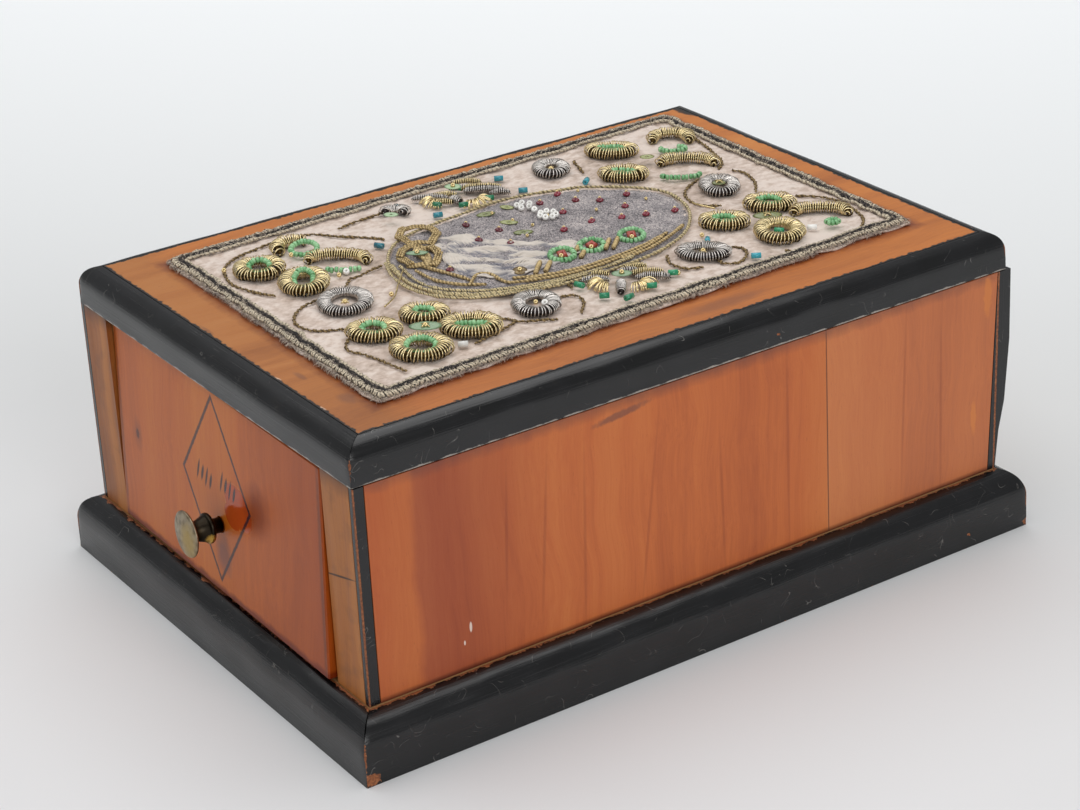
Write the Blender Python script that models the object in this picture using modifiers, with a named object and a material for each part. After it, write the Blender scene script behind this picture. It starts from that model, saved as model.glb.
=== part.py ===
"""Wooden keepsake box with one drawer and an embroidered cloth on its top.

The case stands on a base board and carries a top board. An ebonised moulding is mitred
round each of the two boards. The drawer fills the front, between two narrow stiles.
The cloth lies on the top board, with purl petals, rings and cords sewn on it.
The drawer front faces -Y, the length runs along Y, and the underside lies at Z = 0.
"""
import math

import bmesh
import bpy
from mathutils import Matrix, Vector

MM = 0.001

# Clearances
JOINT_GAP = 0.3 * MM
DRAWER_SIDE_CLEARANCE = 0.9 * MM
DRAWER_HEIGHT_CLEARANCE = 0.8 * MM
DRAWER_REAR_CLEARANCE = 6.0 * MM
WELD_DISTANCE = 0.005 * MM

# Case, between the base board and the top board
CASE_WIDTH = 174.0 * MM
CASE_LENGTH = 244.6 * MM
CASE_HEIGHT = 71.1 * MM
SIDE_THICKNESS = 15.8 * MM
BACK_THICKNESS = 8.0 * MM
VENEER_THICKNESS = 2.0 * MM
STRIP_WIDTH = 3.6 * MM

# The right side's rear edge stands past the back, and is worn away towards its foot:
# each pair is a share of the case height and how far the edge stands past the back.
WORN_EDGE = (
    (0.0, 0.5 * MM),
    (0.19, 1.7 * MM),
    (0.34, 3.9 * MM),
    (0.65, 5.4 * MM),
    (1.0, 5.0 * MM),
)
WORN_STRIP_INNER_FOOT = 2.6 * MM
WORN_STRIP_INNER_HEAD = 0.4 * MM

# Base board and its moulding
BASE_HEIGHT = 20.2 * MM
BASE_FACE_HEIGHT = 11.0 * MM
BASE_SIDE_PROJECTION = 8.6 * MM
BASE_END_PROJECTION = 7.7 * MM

# Top board and its moulding
TOP_THICKNESS = 12.9 * MM
TOP_FACE_HEIGHT = 6.4 * MM
TOP_SIDE_SETBACK = 0.2 * MM
TOP_FRONT_OVERHANG = 0.2 * MM
TOP_REAR_OVERHANG = 3.1 * MM
TOP_MOULDING_SIDE_WIDTH = 5.9 * MM
TOP_MOULDING_END_WIDTH = 7.0 * MM
ROUND_STEPS = 7

# Drawer
FRONT_THICKNESS = 10.0 * MM
FRONT_LEAN = math.radians(2.3)
FRONT_YAW = math.radians(0.7)
FRONT_PROUD = 0.3 * MM
FRONT_EDGE_ROUND = 0.5 * MM
DRAWER_WALL = 6.0 * MM
DRAWER_BOTTOM_THICKNESS = 4.0 * MM
DRAWER_BOTTOM_LIFT = 2.0 * MM
DRAWER_SIDE_HEIGHT = 60.0 * MM

# Knob, turned in brass, standing a little out of its hole
KNOB_ACROSS = 2.07 * MM
KNOB_HEIGHT_SHARE = 0.3541
KNOB_DISC_RADIUS = 7.6 * MM
KNOB_DISC_THICKNESS = 1.6 * MM
KNOB_REACH = 12.8 * MM
KNOB_NECK_RADIUS = 3.0 * MM
KNOB_COLLAR_RADIUS = 5.0 * MM
KNOB_COLLAR_THICKNESS = 1.6 * MM
KNOB_COLLAR_STAND = 3.8 * MM
KNOB_SHANK_RADIUS = 2.5 * MM
KNOB_SHANK_DEPTH = 7.0 * MM
KNOB_SIDES = 28

# Cloth, a little askew on the top board
CLOTH_SIDE_MARGIN = 12.9 * MM
CLOTH_END_MARGIN = 13.4 * MM
CLOTH_SHIFT_ACROSS = -3.3 * MM
CLOTH_SHIFT_ALONG = 2.2 * MM
CLOTH_THICKNESS = 0.8 * MM
CLOTH_ACROSS = Vector((1.0, -0.0173))
CLOTH_ALONG = Vector((-0.030, 1.0))
PATTERN_PROPORTION = 1.52

# Sewn pieces. Places are shares of the cloth's half width and half length, from its
# middle. Sizes are shares of the pattern's unit, the cloth's half width.
BORDER_CORD_RADIUS = 0.9 * MM
BORDER_OUTER_INSET = 1.9 * MM
BORDER_INNER_INSET = 4.9 * MM
BORDER_CORNER_RADIUS = 2.0 * MM
MEDALLION_CENTRE = (-0.015, 0.012)
MEDALLION_HALF = (0.535, 0.518)
MEDALLION_POWER = 2.2
MEDALLION_CORD_RADIUS = 0.8 * MM
MEDALLION_PAD_THICKNESS = 0.8 * MM
MEDALLION_POINTS = 44
GOLD_PURL_RADIUS = 0.0330
SILVER_PURL_RADIUS = 0.0230
PURL_RIB_DEPTH = 0.14
SLANT = math.radians(50)
CROSS_SLANT = math.radians(-29)

# Each petal: across, along, long half, short half, turn, first and last angle.
WHOLE = (0.0, 360.0)
FRONT_LEFT_PETALS = (
    (-0.554, -0.821, 0.091, 0.088, SLANT, *WHOLE),
    (-0.650, -0.624, 0.130, 0.092, SLANT, 90.0, 220.0),
    (-0.412, -0.590, 0.140, 0.056, SLANT, -15.0, 195.0),
    (-0.275, -0.763, 0.112, 0.085, CROSS_SLANT, *WHOLE),
)
FRONT_RIGHT_PETALS = (
    (0.420, -0.783, 0.094, 0.076, SLANT, *WHOLE),
    (0.412, -0.602, 0.083, 0.066, SLANT, *WHOLE),
    (0.664, -0.540, 0.109, 0.086, SLANT, *WHOLE),
    (0.717, -0.738, 0.106, 0.092, SLANT, *WHOLE),
)
BACK_LEFT_PETALS = (
    (-0.702, 0.618, 0.106, 0.056, SLANT, *WHOLE),
    (-0.393, 0.522, 0.096, 0.056, SLANT, *WHOLE),
    (-0.640, 0.845, 0.096, 0.080, SLANT, -15.0, 200.0),
    (-0.300, 0.750, 0.140, 0.064, SLANT, -10.0, 190.0),
)
BACK_RIGHT_PETALS = (
    (0.413, 0.731, 0.096, 0.066, SLANT, *WHOLE),
    (0.450, 0.525, 0.092, 0.062, SLANT, *WHOLE),
    (0.668, 0.812, 0.132, 0.052, SLANT, -10.0, 190.0),
    (0.726, 0.607, 0.108, 0.088, CROSS_SLANT, *WHOLE),
)
SILVER_RINGS = (
    (0.044, -0.738, 0.124, 0.104, CROSS_SLANT, *WHOLE),
    (0.650, -0.300, 0.108, 0.088, CROSS_SLANT, *WHOLE),
    (0.678, 0.326, 0.106, 0.074, SLANT, *WHOLE),
    (0.057, 0.705, 0.106, 0.076, CROSS_SLANT, *WHOLE),
    (-0.711, 0.368, 0.090, 0.072, CROSS_SLANT, *WHOLE),
    (-0.750, -0.242, 0.056, 0.040, SLANT, -40.0, 200.0),
)
GOLD_POINTS = 24
SILVER_POINTS = 20

# Each side flower: across, along, half across, half along.
SIDE_FLOWERS = {
    "left": (-0.760, 0.020, 0.110, 0.185),
    "right": (0.690, 0.010, 0.110, 0.185),
}
SIDE_FLOWER_PETALS = 6
SIDE_FLOWER_NOTCH = 0.34
SIDE_FLOWER_THICKNESS = 2.2 * MM
BEAD_ROSETTES = ((0.275, -0.033), (0.277, 0.080), (0.302, 0.225))
BEAD_ROSETTE_RADIUS = 0.056
BEAD_RADIUS = 0.0145
BEAD_ROSETTE_POINTS = 16

# Levels and faces that follow from the sizes above
CASE_BOTTOM = BASE_HEIGHT + JOINT_GAP
CASE_TOP = CASE_BOTTOM + CASE_HEIGHT
TOP_BOTTOM = CASE_TOP + JOINT_GAP
TOP_TOP = TOP_BOTTOM + TOP_THICKNESS
HALF_WIDTH = CASE_WIDTH / 2
HALF_LENGTH = CASE_LENGTH / 2
CORE_OUTER = HALF_WIDTH - VENEER_THICKNESS - JOINT_GAP
BAY_HALF_WIDTH = CORE_OUTER - SIDE_THICKNESS
BACK_INNER = HALF_LENGTH - BACK_THICKNESS
TOP_HALF_WIDTH = HALF_WIDTH - TOP_SIDE_SETBACK
TOP_FRONT = -HALF_LENGTH - TOP_FRONT_OVERHANG
TOP_REAR = HALF_LENGTH + TOP_REAR_OVERHANG
FIELD_HALF_WIDTH = TOP_HALF_WIDTH - TOP_MOULDING_SIDE_WIDTH
FIELD_FRONT = TOP_FRONT + TOP_MOULDING_END_WIDTH
FIELD_REAR = TOP_REAR - TOP_MOULDING_END_WIDTH
CLOTH_HALF_WIDTH = FIELD_HALF_WIDTH - CLOTH_SIDE_MARGIN
CLOTH_HALF_LENGTH = (FIELD_REAR - FIELD_FRONT) / 2 - CLOTH_END_MARGIN
CLOTH_CENTRE = Vector(
    (CLOTH_SHIFT_ACROSS, (FIELD_FRONT + FIELD_REAR) / 2 + CLOTH_SHIFT_ALONG)
)
CLOTH_BOTTOM = TOP_TOP + JOINT_GAP
CLOTH_TOP = CLOTH_BOTTOM + CLOTH_THICKNESS
SEWN_LEVEL = CLOTH_TOP + JOINT_GAP
PATTERN_UNIT = min(CLOTH_HALF_WIDTH, CLOTH_HALF_LENGTH / PATTERN_PROPORTION)


def clear_scene():
    """Removes whatever the file holds."""
    for old in list(bpy.data.objects):
        bpy.data.objects.remove(old)


def new_collection(name):
    """A collection under the scene."""
    made = bpy.data.collections.new(name)
    bpy.context.scene.collection.children.link(made)
    return made


def new_material(name, colour, roughness, metallic=0.0):
    """A Principled material with one colour."""
    made = bpy.data.materials.new(name)
    made.use_nodes = True
    shader = made.node_tree.nodes["Principled BSDF"]
    shader.inputs["Base Color"].default_value = (*colour, 1.0)
    shader.inputs["Roughness"].default_value = roughness
    shader.inputs["Metallic"].default_value = metallic
    return made


def place(obj, material=None, parent=None, group=None):
    """Links an object, gives it its material and keeps its place under its parent."""
    (group or PARTS).objects.link(obj)
    if material:
        obj.data.materials.append(material)
    if parent:
        obj.parent = parent
    return obj


def board(name, low, high, material, parent=None):
    """A box between two corners, with its origin in its middle."""
    low = Vector(low)
    high = Vector(high)
    mesh = bpy.data.meshes.new(name)
    shape = bmesh.new()
    size = high - low
    bmesh.ops.create_cube(shape, size=1.0, matrix=Matrix.Diagonal((*size, 1.0)))
    shape.to_mesh(mesh)
    shape.free()
    obj = bpy.data.objects.new(name, mesh)
    obj.location = (low + high) / 2
    return place(obj, material, parent)


def outline(name, points, thickness, material):
    """A flat closed outline in local XY, extruded evenly both ways along local Z."""
    curve = bpy.data.curves.new(name, "CURVE")
    curve.dimensions = "2D"
    curve.fill_mode = "BOTH"
    curve.extrude = thickness / 2
    spline = curve.splines.new("POLY")
    spline.points.add(len(points) - 1)
    for target, (x, y) in zip(spline.points, points):
        target.co = (x, y, 0.0, 1.0)
    spline.use_cyclic_u = True
    return place(bpy.data.objects.new(name, curve), material)


def as_mesh(source):
    """Turns a curve object into a welded mesh object with its name, place and material."""
    bpy.context.view_layer.update()
    graph = bpy.context.evaluated_depsgraph_get()
    mesh = bpy.data.meshes.new_from_object(source.evaluated_get(graph))
    shape = bmesh.new()
    shape.from_mesh(mesh)
    bmesh.ops.remove_doubles(shape, verts=shape.verts[:], dist=WELD_DISTANCE)
    bmesh.ops.recalc_face_normals(shape, faces=shape.faces[:])
    shape.to_mesh(mesh)
    shape.free()
    name = source.name
    made = bpy.data.objects.new(name + "_solid", mesh)
    made.matrix_world = source.matrix_world
    PARTS.objects.link(made)
    bpy.data.objects.remove(source)
    made.name = name
    return made


def cut_off(obj, point, normal):
    """Cuts away what lies past a plane, given in world space, and closes the cut."""
    bpy.context.view_layer.update()
    to_local = obj.matrix_world.inverted()
    local_point = to_local @ Vector(point)
    local_normal = (to_local.to_3x3() @ Vector(normal)).normalized()
    shape = bmesh.new()
    shape.from_mesh(obj.data)
    everything = shape.verts[:] + shape.edges[:] + shape.faces[:]
    cut = bmesh.ops.bisect_plane(
        shape,
        geom=everything,
        plane_co=local_point,
        plane_no=local_normal,
        clear_outer=True,
    )
    rim = [item for item in cut["geom_cut"] if isinstance(item, bmesh.types.BMEdge)]
    bmesh.ops.contextual_create(shape, geom=rim)
    bmesh.ops.recalc_face_normals(shape, faces=shape.faces[:])
    shape.to_mesh(obj.data)
    shape.free()


def upright_outline(name, points, x, thickness, material):
    """An outline given as (y, z) points, extruded along X about the plane at x."""
    made = outline(name, points, thickness, material)
    made.matrix_world = Matrix(
        ((0, 0, 1, x), (1, 0, 0, 0), (0, 1, 0, 0), (0, 0, 0, 1))
    )
    return made


def moulding_section(width, face_height, height):
    """Upright face below and a quarter round above, as (out, up) points."""
    points = [(JOINT_GAP, 0.0), (width, 0.0)]
    for step in range(ROUND_STEPS + 1):
        turn = math.pi / 2 * step / ROUND_STEPS
        out = JOINT_GAP + (width - JOINT_GAP) * math.cos(turn)
        up = face_height + (height - face_height) * math.sin(turn)
        points.append((out, up))
    return points


def moulding_frame(prefix, corners, side_width, end_width, face, height, level):
    """Four lengths of moulding, mitred round the rectangle (left, front, right, back).

    Each length is a section extruded along its side. A plane through the rectangle's
    corner and the frame's corner cuts each end, half a joint gap short of the mitre.
    """
    left, front, right, back = corners
    middle = Vector(((left + right) / 2, (front + back) / 2))
    half = Vector(((right - left) / 2, (back - front) / 2))
    sides = {
        "front": (Vector((0, -1)), half.y, half.x, end_width, side_width),
        "right": (Vector((1, 0)), half.x, half.y, side_width, end_width),
        "back": (Vector((0, 1)), half.y, half.x, end_width, side_width),
        "left": (Vector((-1, 0)), half.x, half.y, side_width, end_width),
    }
    for side, (outward, distance, run, width, corner_width) in sides.items():
        section = moulding_section(width, face, height)
        name = f"{prefix}_{side}"
        piece = outline(name, section, 2 * (run + corner_width), EBONISED)
        along = Vector((outward.y, -outward.x))
        start = middle + outward * distance
        piece.matrix_world = Matrix(
            (
                (outward.x, 0, along.x, start.x),
                (outward.y, 0, along.y, start.y),
                (0, 1, 0, level),
                (0, 0, 0, 1),
            )
        )
        piece = as_mesh(piece)
        for direction in (1, -1):
            mitre = outward * width + along * corner_width * direction
            normal = Vector((-mitre.y, mitre.x)).normalized() * direction
            if normal.dot(along * direction) < 0:
                normal = -normal
            corner = start + along * run * direction - normal * JOINT_GAP / 2
            cut_off(piece, (*corner, level), (*normal, 0))


def worn_edge_points():
    """The worn rear edge of the right side, from its foot up, as (y, z) points."""
    return [
        (HALF_LENGTH + past, CASE_BOTTOM + share * CASE_HEIGHT)
        for share, past in WORN_EDGE
    ]


def make_base():
    """The base board and the moulding round it."""
    board(
        "base_board",
        (-HALF_WIDTH, -HALF_LENGTH, 0),
        (HALF_WIDTH, HALF_LENGTH, BASE_HEIGHT),
        PLAIN_WOOD,
    )
    moulding_frame(
        "base_moulding",
        (-HALF_WIDTH, -HALF_LENGTH, HALF_WIDTH, HALF_LENGTH),
        BASE_SIDE_PROJECTION,
        BASE_END_PROJECTION,
        BASE_FACE_HEIGHT,
        BASE_HEIGHT,
        0.0,
    )


def make_left_side(front):
    """The left side board, its veneer and its two ebonised strips, all straight."""
    core_middle = CORE_OUTER - SIDE_THICKNESS / 2
    board(
        "side_board_left",
        (-core_middle - SIDE_THICKNESS / 2, front, CASE_BOTTOM),
        (-core_middle + SIDE_THICKNESS / 2, HALF_LENGTH, CASE_TOP),
        PLAIN_WOOD,
    )
    skin = (-HALF_WIDTH, -HALF_WIDTH + VENEER_THICKNESS)
    board(
        "side_veneer_left",
        (skin[0], -HALF_LENGTH + STRIP_WIDTH + JOINT_GAP, CASE_BOTTOM),
        (skin[1], HALF_LENGTH - STRIP_WIDTH - JOINT_GAP, CASE_TOP),
        SIDE_WOOD,
    )
    board(
        "corner_strip_front_left",
        (skin[0], -HALF_LENGTH, CASE_BOTTOM),
        (skin[1], -HALF_LENGTH + STRIP_WIDTH, CASE_TOP),
        EBONISED,
    )
    board(
        "corner_strip_back_left",
        (skin[0], HALF_LENGTH - STRIP_WIDTH, CASE_BOTTOM),
        (skin[1], HALF_LENGTH, CASE_TOP),
        EBONISED,
    )


def make_right_side(front):
    """The right side, whose rear edge and rear strip follow the worn edge."""
    edge = worn_edge_points()
    upright_outline(
        "side_board_right",
        [(front, CASE_TOP), (front, CASE_BOTTOM)] + edge,
        CORE_OUTER - SIDE_THICKNESS / 2,
        SIDE_THICKNESS,
        PLAIN_WOOD,
    )
    skin_middle = HALF_WIDTH - VENEER_THICKNESS / 2
    strip_foot = HALF_LENGTH - WORN_STRIP_INNER_FOOT
    strip_head = HALF_LENGTH - WORN_STRIP_INNER_HEAD
    veneer_front = -HALF_LENGTH + STRIP_WIDTH + JOINT_GAP
    upright_outline(
        "side_veneer_right",
        [
            (veneer_front, CASE_TOP),
            (veneer_front, CASE_BOTTOM),
            (strip_foot - JOINT_GAP, CASE_BOTTOM),
            (strip_head - JOINT_GAP, CASE_TOP),
        ],
        skin_middle,
        VENEER_THICKNESS,
        SIDE_WOOD,
    )
    upright_outline(
        "corner_strip_back_right",
        [(strip_head, CASE_TOP), (strip_foot, CASE_BOTTOM)] + edge,
        skin_middle,
        VENEER_THICKNESS,
        EBONISED,
    )
    board(
        "corner_strip_front_right",
        (HALF_WIDTH - VENEER_THICKNESS, -HALF_LENGTH, CASE_BOTTOM),
        (HALF_WIDTH, -HALF_LENGTH + STRIP_WIDTH, CASE_TOP),
        EBONISED,
    )


def make_case():
    """The two sides, the back and the two stiles beside the drawer."""
    core_front = -HALF_LENGTH + VENEER_THICKNESS + JOINT_GAP
    make_left_side(core_front)
    make_right_side(core_front)
    for name, sign in (("stile_left", -1), ("stile_right", 1)):
        edges = sorted((sign * BAY_HALF_WIDTH, sign * CORE_OUTER))
        board(
            name,
            (edges[0], -HALF_LENGTH, CASE_BOTTOM),
            (edges[1], -HALF_LENGTH + VENEER_THICKNESS, CASE_TOP),
            STILE_WOOD,
        )
    board(
        "back_board",
        (-BAY_HALF_WIDTH + JOINT_GAP, BACK_INNER, CASE_BOTTOM),
        (BAY_HALF_WIDTH - JOINT_GAP, HALF_LENGTH, CASE_TOP),
        PLAIN_WOOD,
    )


def make_top():
    """The top board and the moulding round it."""
    board(
        "top_board",
        (-FIELD_HALF_WIDTH, FIELD_FRONT, TOP_BOTTOM),
        (FIELD_HALF_WIDTH, FIELD_REAR, TOP_TOP),
        TOP_WOOD,
    )
    moulding_frame(
        "top_moulding",
        (-FIELD_HALF_WIDTH, FIELD_FRONT, FIELD_HALF_WIDTH, FIELD_REAR),
        TOP_MOULDING_SIDE_WIDTH,
        TOP_MOULDING_END_WIDTH,
        TOP_FACE_HEIGHT,
        TOP_THICKNESS,
        TOP_BOTTOM,
    )


def make_knob(tilt):
    """A turned brass knob on the leaning front: disc, hollowed neck, collar and shank.

    The profile runs down the outer side from the disc's face to the shank's end, and
    the Screw modifier turns it about local Z, which points out of the drawer front.
    """
    disc_back = KNOB_REACH - KNOB_DISC_THICKNESS
    collar_front = KNOB_COLLAR_STAND + KNOB_COLLAR_THICKNESS
    profile = [
        (0.0, KNOB_REACH),
        (0.6 * KNOB_DISC_RADIUS, KNOB_REACH - 0.1 * KNOB_DISC_THICKNESS),
        (0.93 * KNOB_DISC_RADIUS, KNOB_REACH - 0.35 * KNOB_DISC_THICKNESS),
        (KNOB_DISC_RADIUS, KNOB_REACH - 0.7 * KNOB_DISC_THICKNESS),
        (0.95 * KNOB_DISC_RADIUS, disc_back),
    ]
    flare_steps = 6
    for step in range(flare_steps + 1):
        share = step / flare_steps
        radius = KNOB_NECK_RADIUS + (KNOB_COLLAR_RADIUS - KNOB_NECK_RADIUS) * share**2
        profile.append((radius, disc_back + (collar_front - disc_back) * share))
    profile.append((KNOB_COLLAR_RADIUS, KNOB_COLLAR_STAND))
    profile.append((KNOB_SHANK_RADIUS, KNOB_COLLAR_STAND))
    profile.append((KNOB_SHANK_RADIUS, -KNOB_SHANK_DEPTH))
    profile.append((0.0, -KNOB_SHANK_DEPTH))
    mesh = bpy.data.meshes.new("drawer_knob")
    edges = [(k, k + 1) for k in range(len(profile) - 1)]
    mesh.from_pydata([(r, 0.0, z) for r, z in profile], edges, [])
    knob = place(bpy.data.objects.new("drawer_knob", mesh), BRASS, tilt)
    turn = knob.modifiers.new("turn", "SCREW")
    turn.axis = "Z"
    turn.steps = KNOB_SIDES
    turn.render_steps = KNOB_SIDES
    turn.use_merge_vertices = True
    turn.merge_threshold = WELD_DISTANCE
    turn.use_smooth_shade = True
    drawer_height = CASE_HEIGHT - 2 * DRAWER_HEIGHT_CLEARANCE
    knob.location = (
        KNOB_ACROSS,
        -FRONT_THICKNESS / 2,
        (KNOB_HEIGHT_SHARE - 0.5) * drawer_height,
    )
    knob.rotation_euler = (math.pi / 2, 0, 0)
    return knob


def make_knob_hole(tilt, knob, front):
    """Bores the drawer front for the knob's shank."""
    mesh = bpy.data.meshes.new("knob_hole")
    shape = bmesh.new()
    bmesh.ops.create_cone(
        shape,
        cap_ends=True,
        segments=KNOB_SIDES,
        radius1=KNOB_SHANK_RADIUS + JOINT_GAP,
        radius2=KNOB_SHANK_RADIUS + JOINT_GAP,
        depth=2 * (KNOB_SHANK_DEPTH + JOINT_GAP),
    )
    shape.to_mesh(mesh)
    shape.free()
    cutter = place(bpy.data.objects.new("knob_hole", mesh), None, tilt, CUTTERS)
    cutter.location = knob.location
    cutter.rotation_euler = knob.rotation_euler
    cutter.hide_render = True
    cutter.display_type = "WIRE"
    bore = front.modifiers.new("bore", "BOOLEAN")
    bore.object = cutter
    bore.operation = "DIFFERENCE"
    bore.solver = "EXACT"


def make_drawer():
    """The drawer: a leaning front with its knob, and a tray of thin boards behind it.

    The slide empty lies on the drawer's path, and every drawer piece hangs from it.
    """
    bottom = CASE_BOTTOM + DRAWER_HEIGHT_CLEARANCE
    top = CASE_TOP - DRAWER_HEIGHT_CLEARANCE
    half_width = BAY_HALF_WIDTH - DRAWER_SIDE_CLEARANCE
    slide = place(bpy.data.objects.new("drawer_slide", None))
    tilt = place(bpy.data.objects.new("front_tilt", None), None, slide)
    face = -HALF_LENGTH - FRONT_PROUD
    tilt.location = (0, face + FRONT_THICKNESS / 2, (bottom + top) / 2)
    tilt.rotation_euler = (-FRONT_LEAN, 0, -FRONT_YAW)
    half_height = (top - bottom) / 2
    front = board(
        "drawer_front",
        (-half_width, -FRONT_THICKNESS / 2, -half_height),
        (half_width, FRONT_THICKNESS / 2, half_height),
        FRONT_WOOD,
        tilt,
    )
    knob = make_knob(tilt)
    make_knob_hole(tilt, knob, front)
    rounding = front.modifiers.new("edges", "BEVEL")
    rounding.width = FRONT_EDGE_ROUND
    rounding.segments = 1
    rounding.limit_method = "ANGLE"
    rounding.angle_limit = math.radians(60)
    front.modifiers.move(1, 0)

    rear = BACK_INNER - DRAWER_REAR_CLEARANCE
    tray_top = bottom + DRAWER_SIDE_HEIGHT
    inner = half_width - DRAWER_WALL
    bpy.context.view_layer.update()
    outward = tilt.matrix_world.to_3x3() @ Vector((0, -1, 0))
    front_back = tilt.matrix_world @ Vector((0, FRONT_THICKNESS / 2 + JOINT_GAP, 0))
    floor = bottom + DRAWER_BOTTOM_LIFT
    tray = {
        "drawer_side_left": ((-half_width, face, bottom), (-inner, rear, tray_top)),
        "drawer_side_right": ((inner, face, bottom), (half_width, rear, tray_top)),
        "drawer_bottom": (
            (-inner + JOINT_GAP, face, floor),
            (inner - JOINT_GAP, rear, floor + DRAWER_BOTTOM_THICKNESS),
        ),
    }
    for name, (low, high) in tray.items():
        cut_off(board(name, low, high, PLAIN_WOOD, slide), front_back, outward)
    board(
        "drawer_back",
        (
            -inner + JOINT_GAP,
            rear - DRAWER_WALL,
            floor + DRAWER_BOTTOM_THICKNESS + JOINT_GAP,
        ),
        (inner - JOINT_GAP, rear, tray_top),
        PLAIN_WOOD,
        slide,
    )


def on_cloth(across, along):
    """The box's own x and y of a place given in shares of the cloth."""
    return (
        CLOTH_CENTRE
        + CLOTH_ACROSS * across * CLOTH_HALF_WIDTH
        + CLOTH_ALONG * along * CLOTH_HALF_LENGTH
    )


def thread(name, points, radius, closed, material, radii=None, sides_step=1):
    """A round thread, cord or coil along 3D points, as a curve with a bevel depth."""
    curve = bpy.data.curves.new(name, "CURVE")
    curve.dimensions = "3D"
    curve.bevel_depth = radius
    curve.bevel_resolution = sides_step
    curve.use_fill_caps = not closed
    spline = curve.splines.new("POLY")
    spline.points.add(len(points) - 1)
    for number, (target, point) in enumerate(zip(spline.points, points)):
        target.co = (*point, 1.0)
        if radii:
            target.radius = radii[number]
    spline.use_cyclic_u = closed
    spline.use_smooth = True
    return place(bpy.data.objects.new(name, curve), material)


def border_points(inset):
    """A rectangle that follows the cloth's edge at an inset, with rounded corners."""
    half_across = CLOTH_HALF_WIDTH - inset
    half_along = CLOTH_HALF_LENGTH - inset
    level = SEWN_LEVEL + BORDER_CORD_RADIUS
    corner_steps = 3
    points = []
    for quarter, (sign_x, sign_y) in enumerate(((1, 1), (-1, 1), (-1, -1), (1, -1))):
        for step in range(corner_steps + 1):
            turn = math.pi / 2 * (quarter + step / corner_steps)
            across = sign_x * (half_across - BORDER_CORNER_RADIUS)
            along = sign_y * (half_along - BORDER_CORNER_RADIUS)
            across += BORDER_CORNER_RADIUS * math.cos(turn)
            along += BORDER_CORNER_RADIUS * math.sin(turn)
            place_on = on_cloth(across / CLOTH_HALF_WIDTH, along / CLOTH_HALF_LENGTH)
            points.append((*place_on, level))
    return points


def medallion_outline(inward):
    """The medallion's rounded oval, a superellipse moved inward by a distance."""
    points = []
    for step in range(MEDALLION_POINTS):
        turn = 2 * math.pi * step / MEDALLION_POINTS
        bulge = 2 / MEDALLION_POWER
        cosine = math.cos(turn)
        sine = math.sin(turn)
        across_half = MEDALLION_HALF[0] - inward / CLOTH_HALF_WIDTH
        along_half = MEDALLION_HALF[1] - inward / CLOTH_HALF_LENGTH
        across = MEDALLION_CENTRE[0] + across_half * math.copysign(
            abs(cosine) ** bulge, cosine
        )
        along = MEDALLION_CENTRE[1] + along_half * math.copysign(
            abs(sine) ** bulge, sine
        )
        points.append(on_cloth(across, along))
    return points


def purl(name, petal, share_radius, count, material):
    """A coil of purl sewn down along an oval ring or arch, with ribs round it.

    Each point lies on an ellipse at the petal's place and turn. Every second point has
    a smaller radius, which gives the coil its ribs.
    """
    across, along, long_half, short_half, turn, first, last = petal
    centre = on_cloth(across, along)
    radius = share_radius * PATTERN_UNIT
    closed = last - first >= 360.0
    intervals = count if closed else count - 1
    level = SEWN_LEVEL + radius
    points = []
    for step in range(count):
        angle = math.radians(first + (last - first) * step / intervals)
        a = long_half * PATTERN_UNIT * math.cos(angle)
        b = short_half * PATTERN_UNIT * math.sin(angle)
        x = centre.x + a * math.cos(turn) - b * math.sin(turn)
        y = centre.y + a * math.sin(turn) + b * math.cos(turn)
        points.append((x, y, level))
    radii = [1.0 - PURL_RIB_DEPTH * (step % 2) for step in range(count)]
    return thread(name, points, radius, closed, material, radii)


def side_flower(name, flower):
    """A low flower of short coils, as a lobed outline with rounded top edges."""
    across, along, half_across, half_along = flower
    centre = on_cloth(across, along)
    steps = SIDE_FLOWER_PETALS * 8
    points = []
    for step in range(steps):
        turn = 2 * math.pi * step / steps
        lobe = 1 - SIDE_FLOWER_NOTCH * (0.5 - 0.5 * math.cos(SIDE_FLOWER_PETALS * turn))
        x = centre.x + half_across * PATTERN_UNIT * lobe * math.cos(turn)
        y = centre.y + half_along * PATTERN_UNIT * lobe * math.sin(turn)
        points.append((x, y))
    made = outline(name, points, SIDE_FLOWER_THICKNESS, SILVER_THREAD)
    made.location.z = SEWN_LEVEL + SIDE_FLOWER_THICKNESS / 2
    return made


def make_cloth():
    """The cloth, its two border cords and the padded oval in its middle."""
    corners = [on_cloth(*corner) for corner in ((-1, -1), (1, -1), (1, 1), (-1, 1))]
    panel = outline("cloth_panel", corners, CLOTH_THICKNESS, CLOTH)
    panel.location.z = (CLOTH_BOTTOM + CLOTH_TOP) / 2
    insets = (
        ("border_cord_outer", BORDER_OUTER_INSET),
        ("border_cord_inner", BORDER_INNER_INSET),
    )
    for name, inset in insets:
        thread(name, border_points(inset), BORDER_CORD_RADIUS, True, DARK_THREAD)
    level = SEWN_LEVEL + MEDALLION_CORD_RADIUS
    cord_line = [(*point, level) for point in medallion_outline(0.0)]
    thread("medallion_cord", cord_line, MEDALLION_CORD_RADIUS, True, GOLD_THREAD)
    pad_inset = MEDALLION_CORD_RADIUS + 2 * JOINT_GAP
    pad = outline(
        "medallion_pad",
        medallion_outline(pad_inset),
        MEDALLION_PAD_THICKNESS,
        GREY_CHENILLE,
    )
    pad.location.z = SEWN_LEVEL + MEDALLION_PAD_THICKNESS / 2


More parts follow.
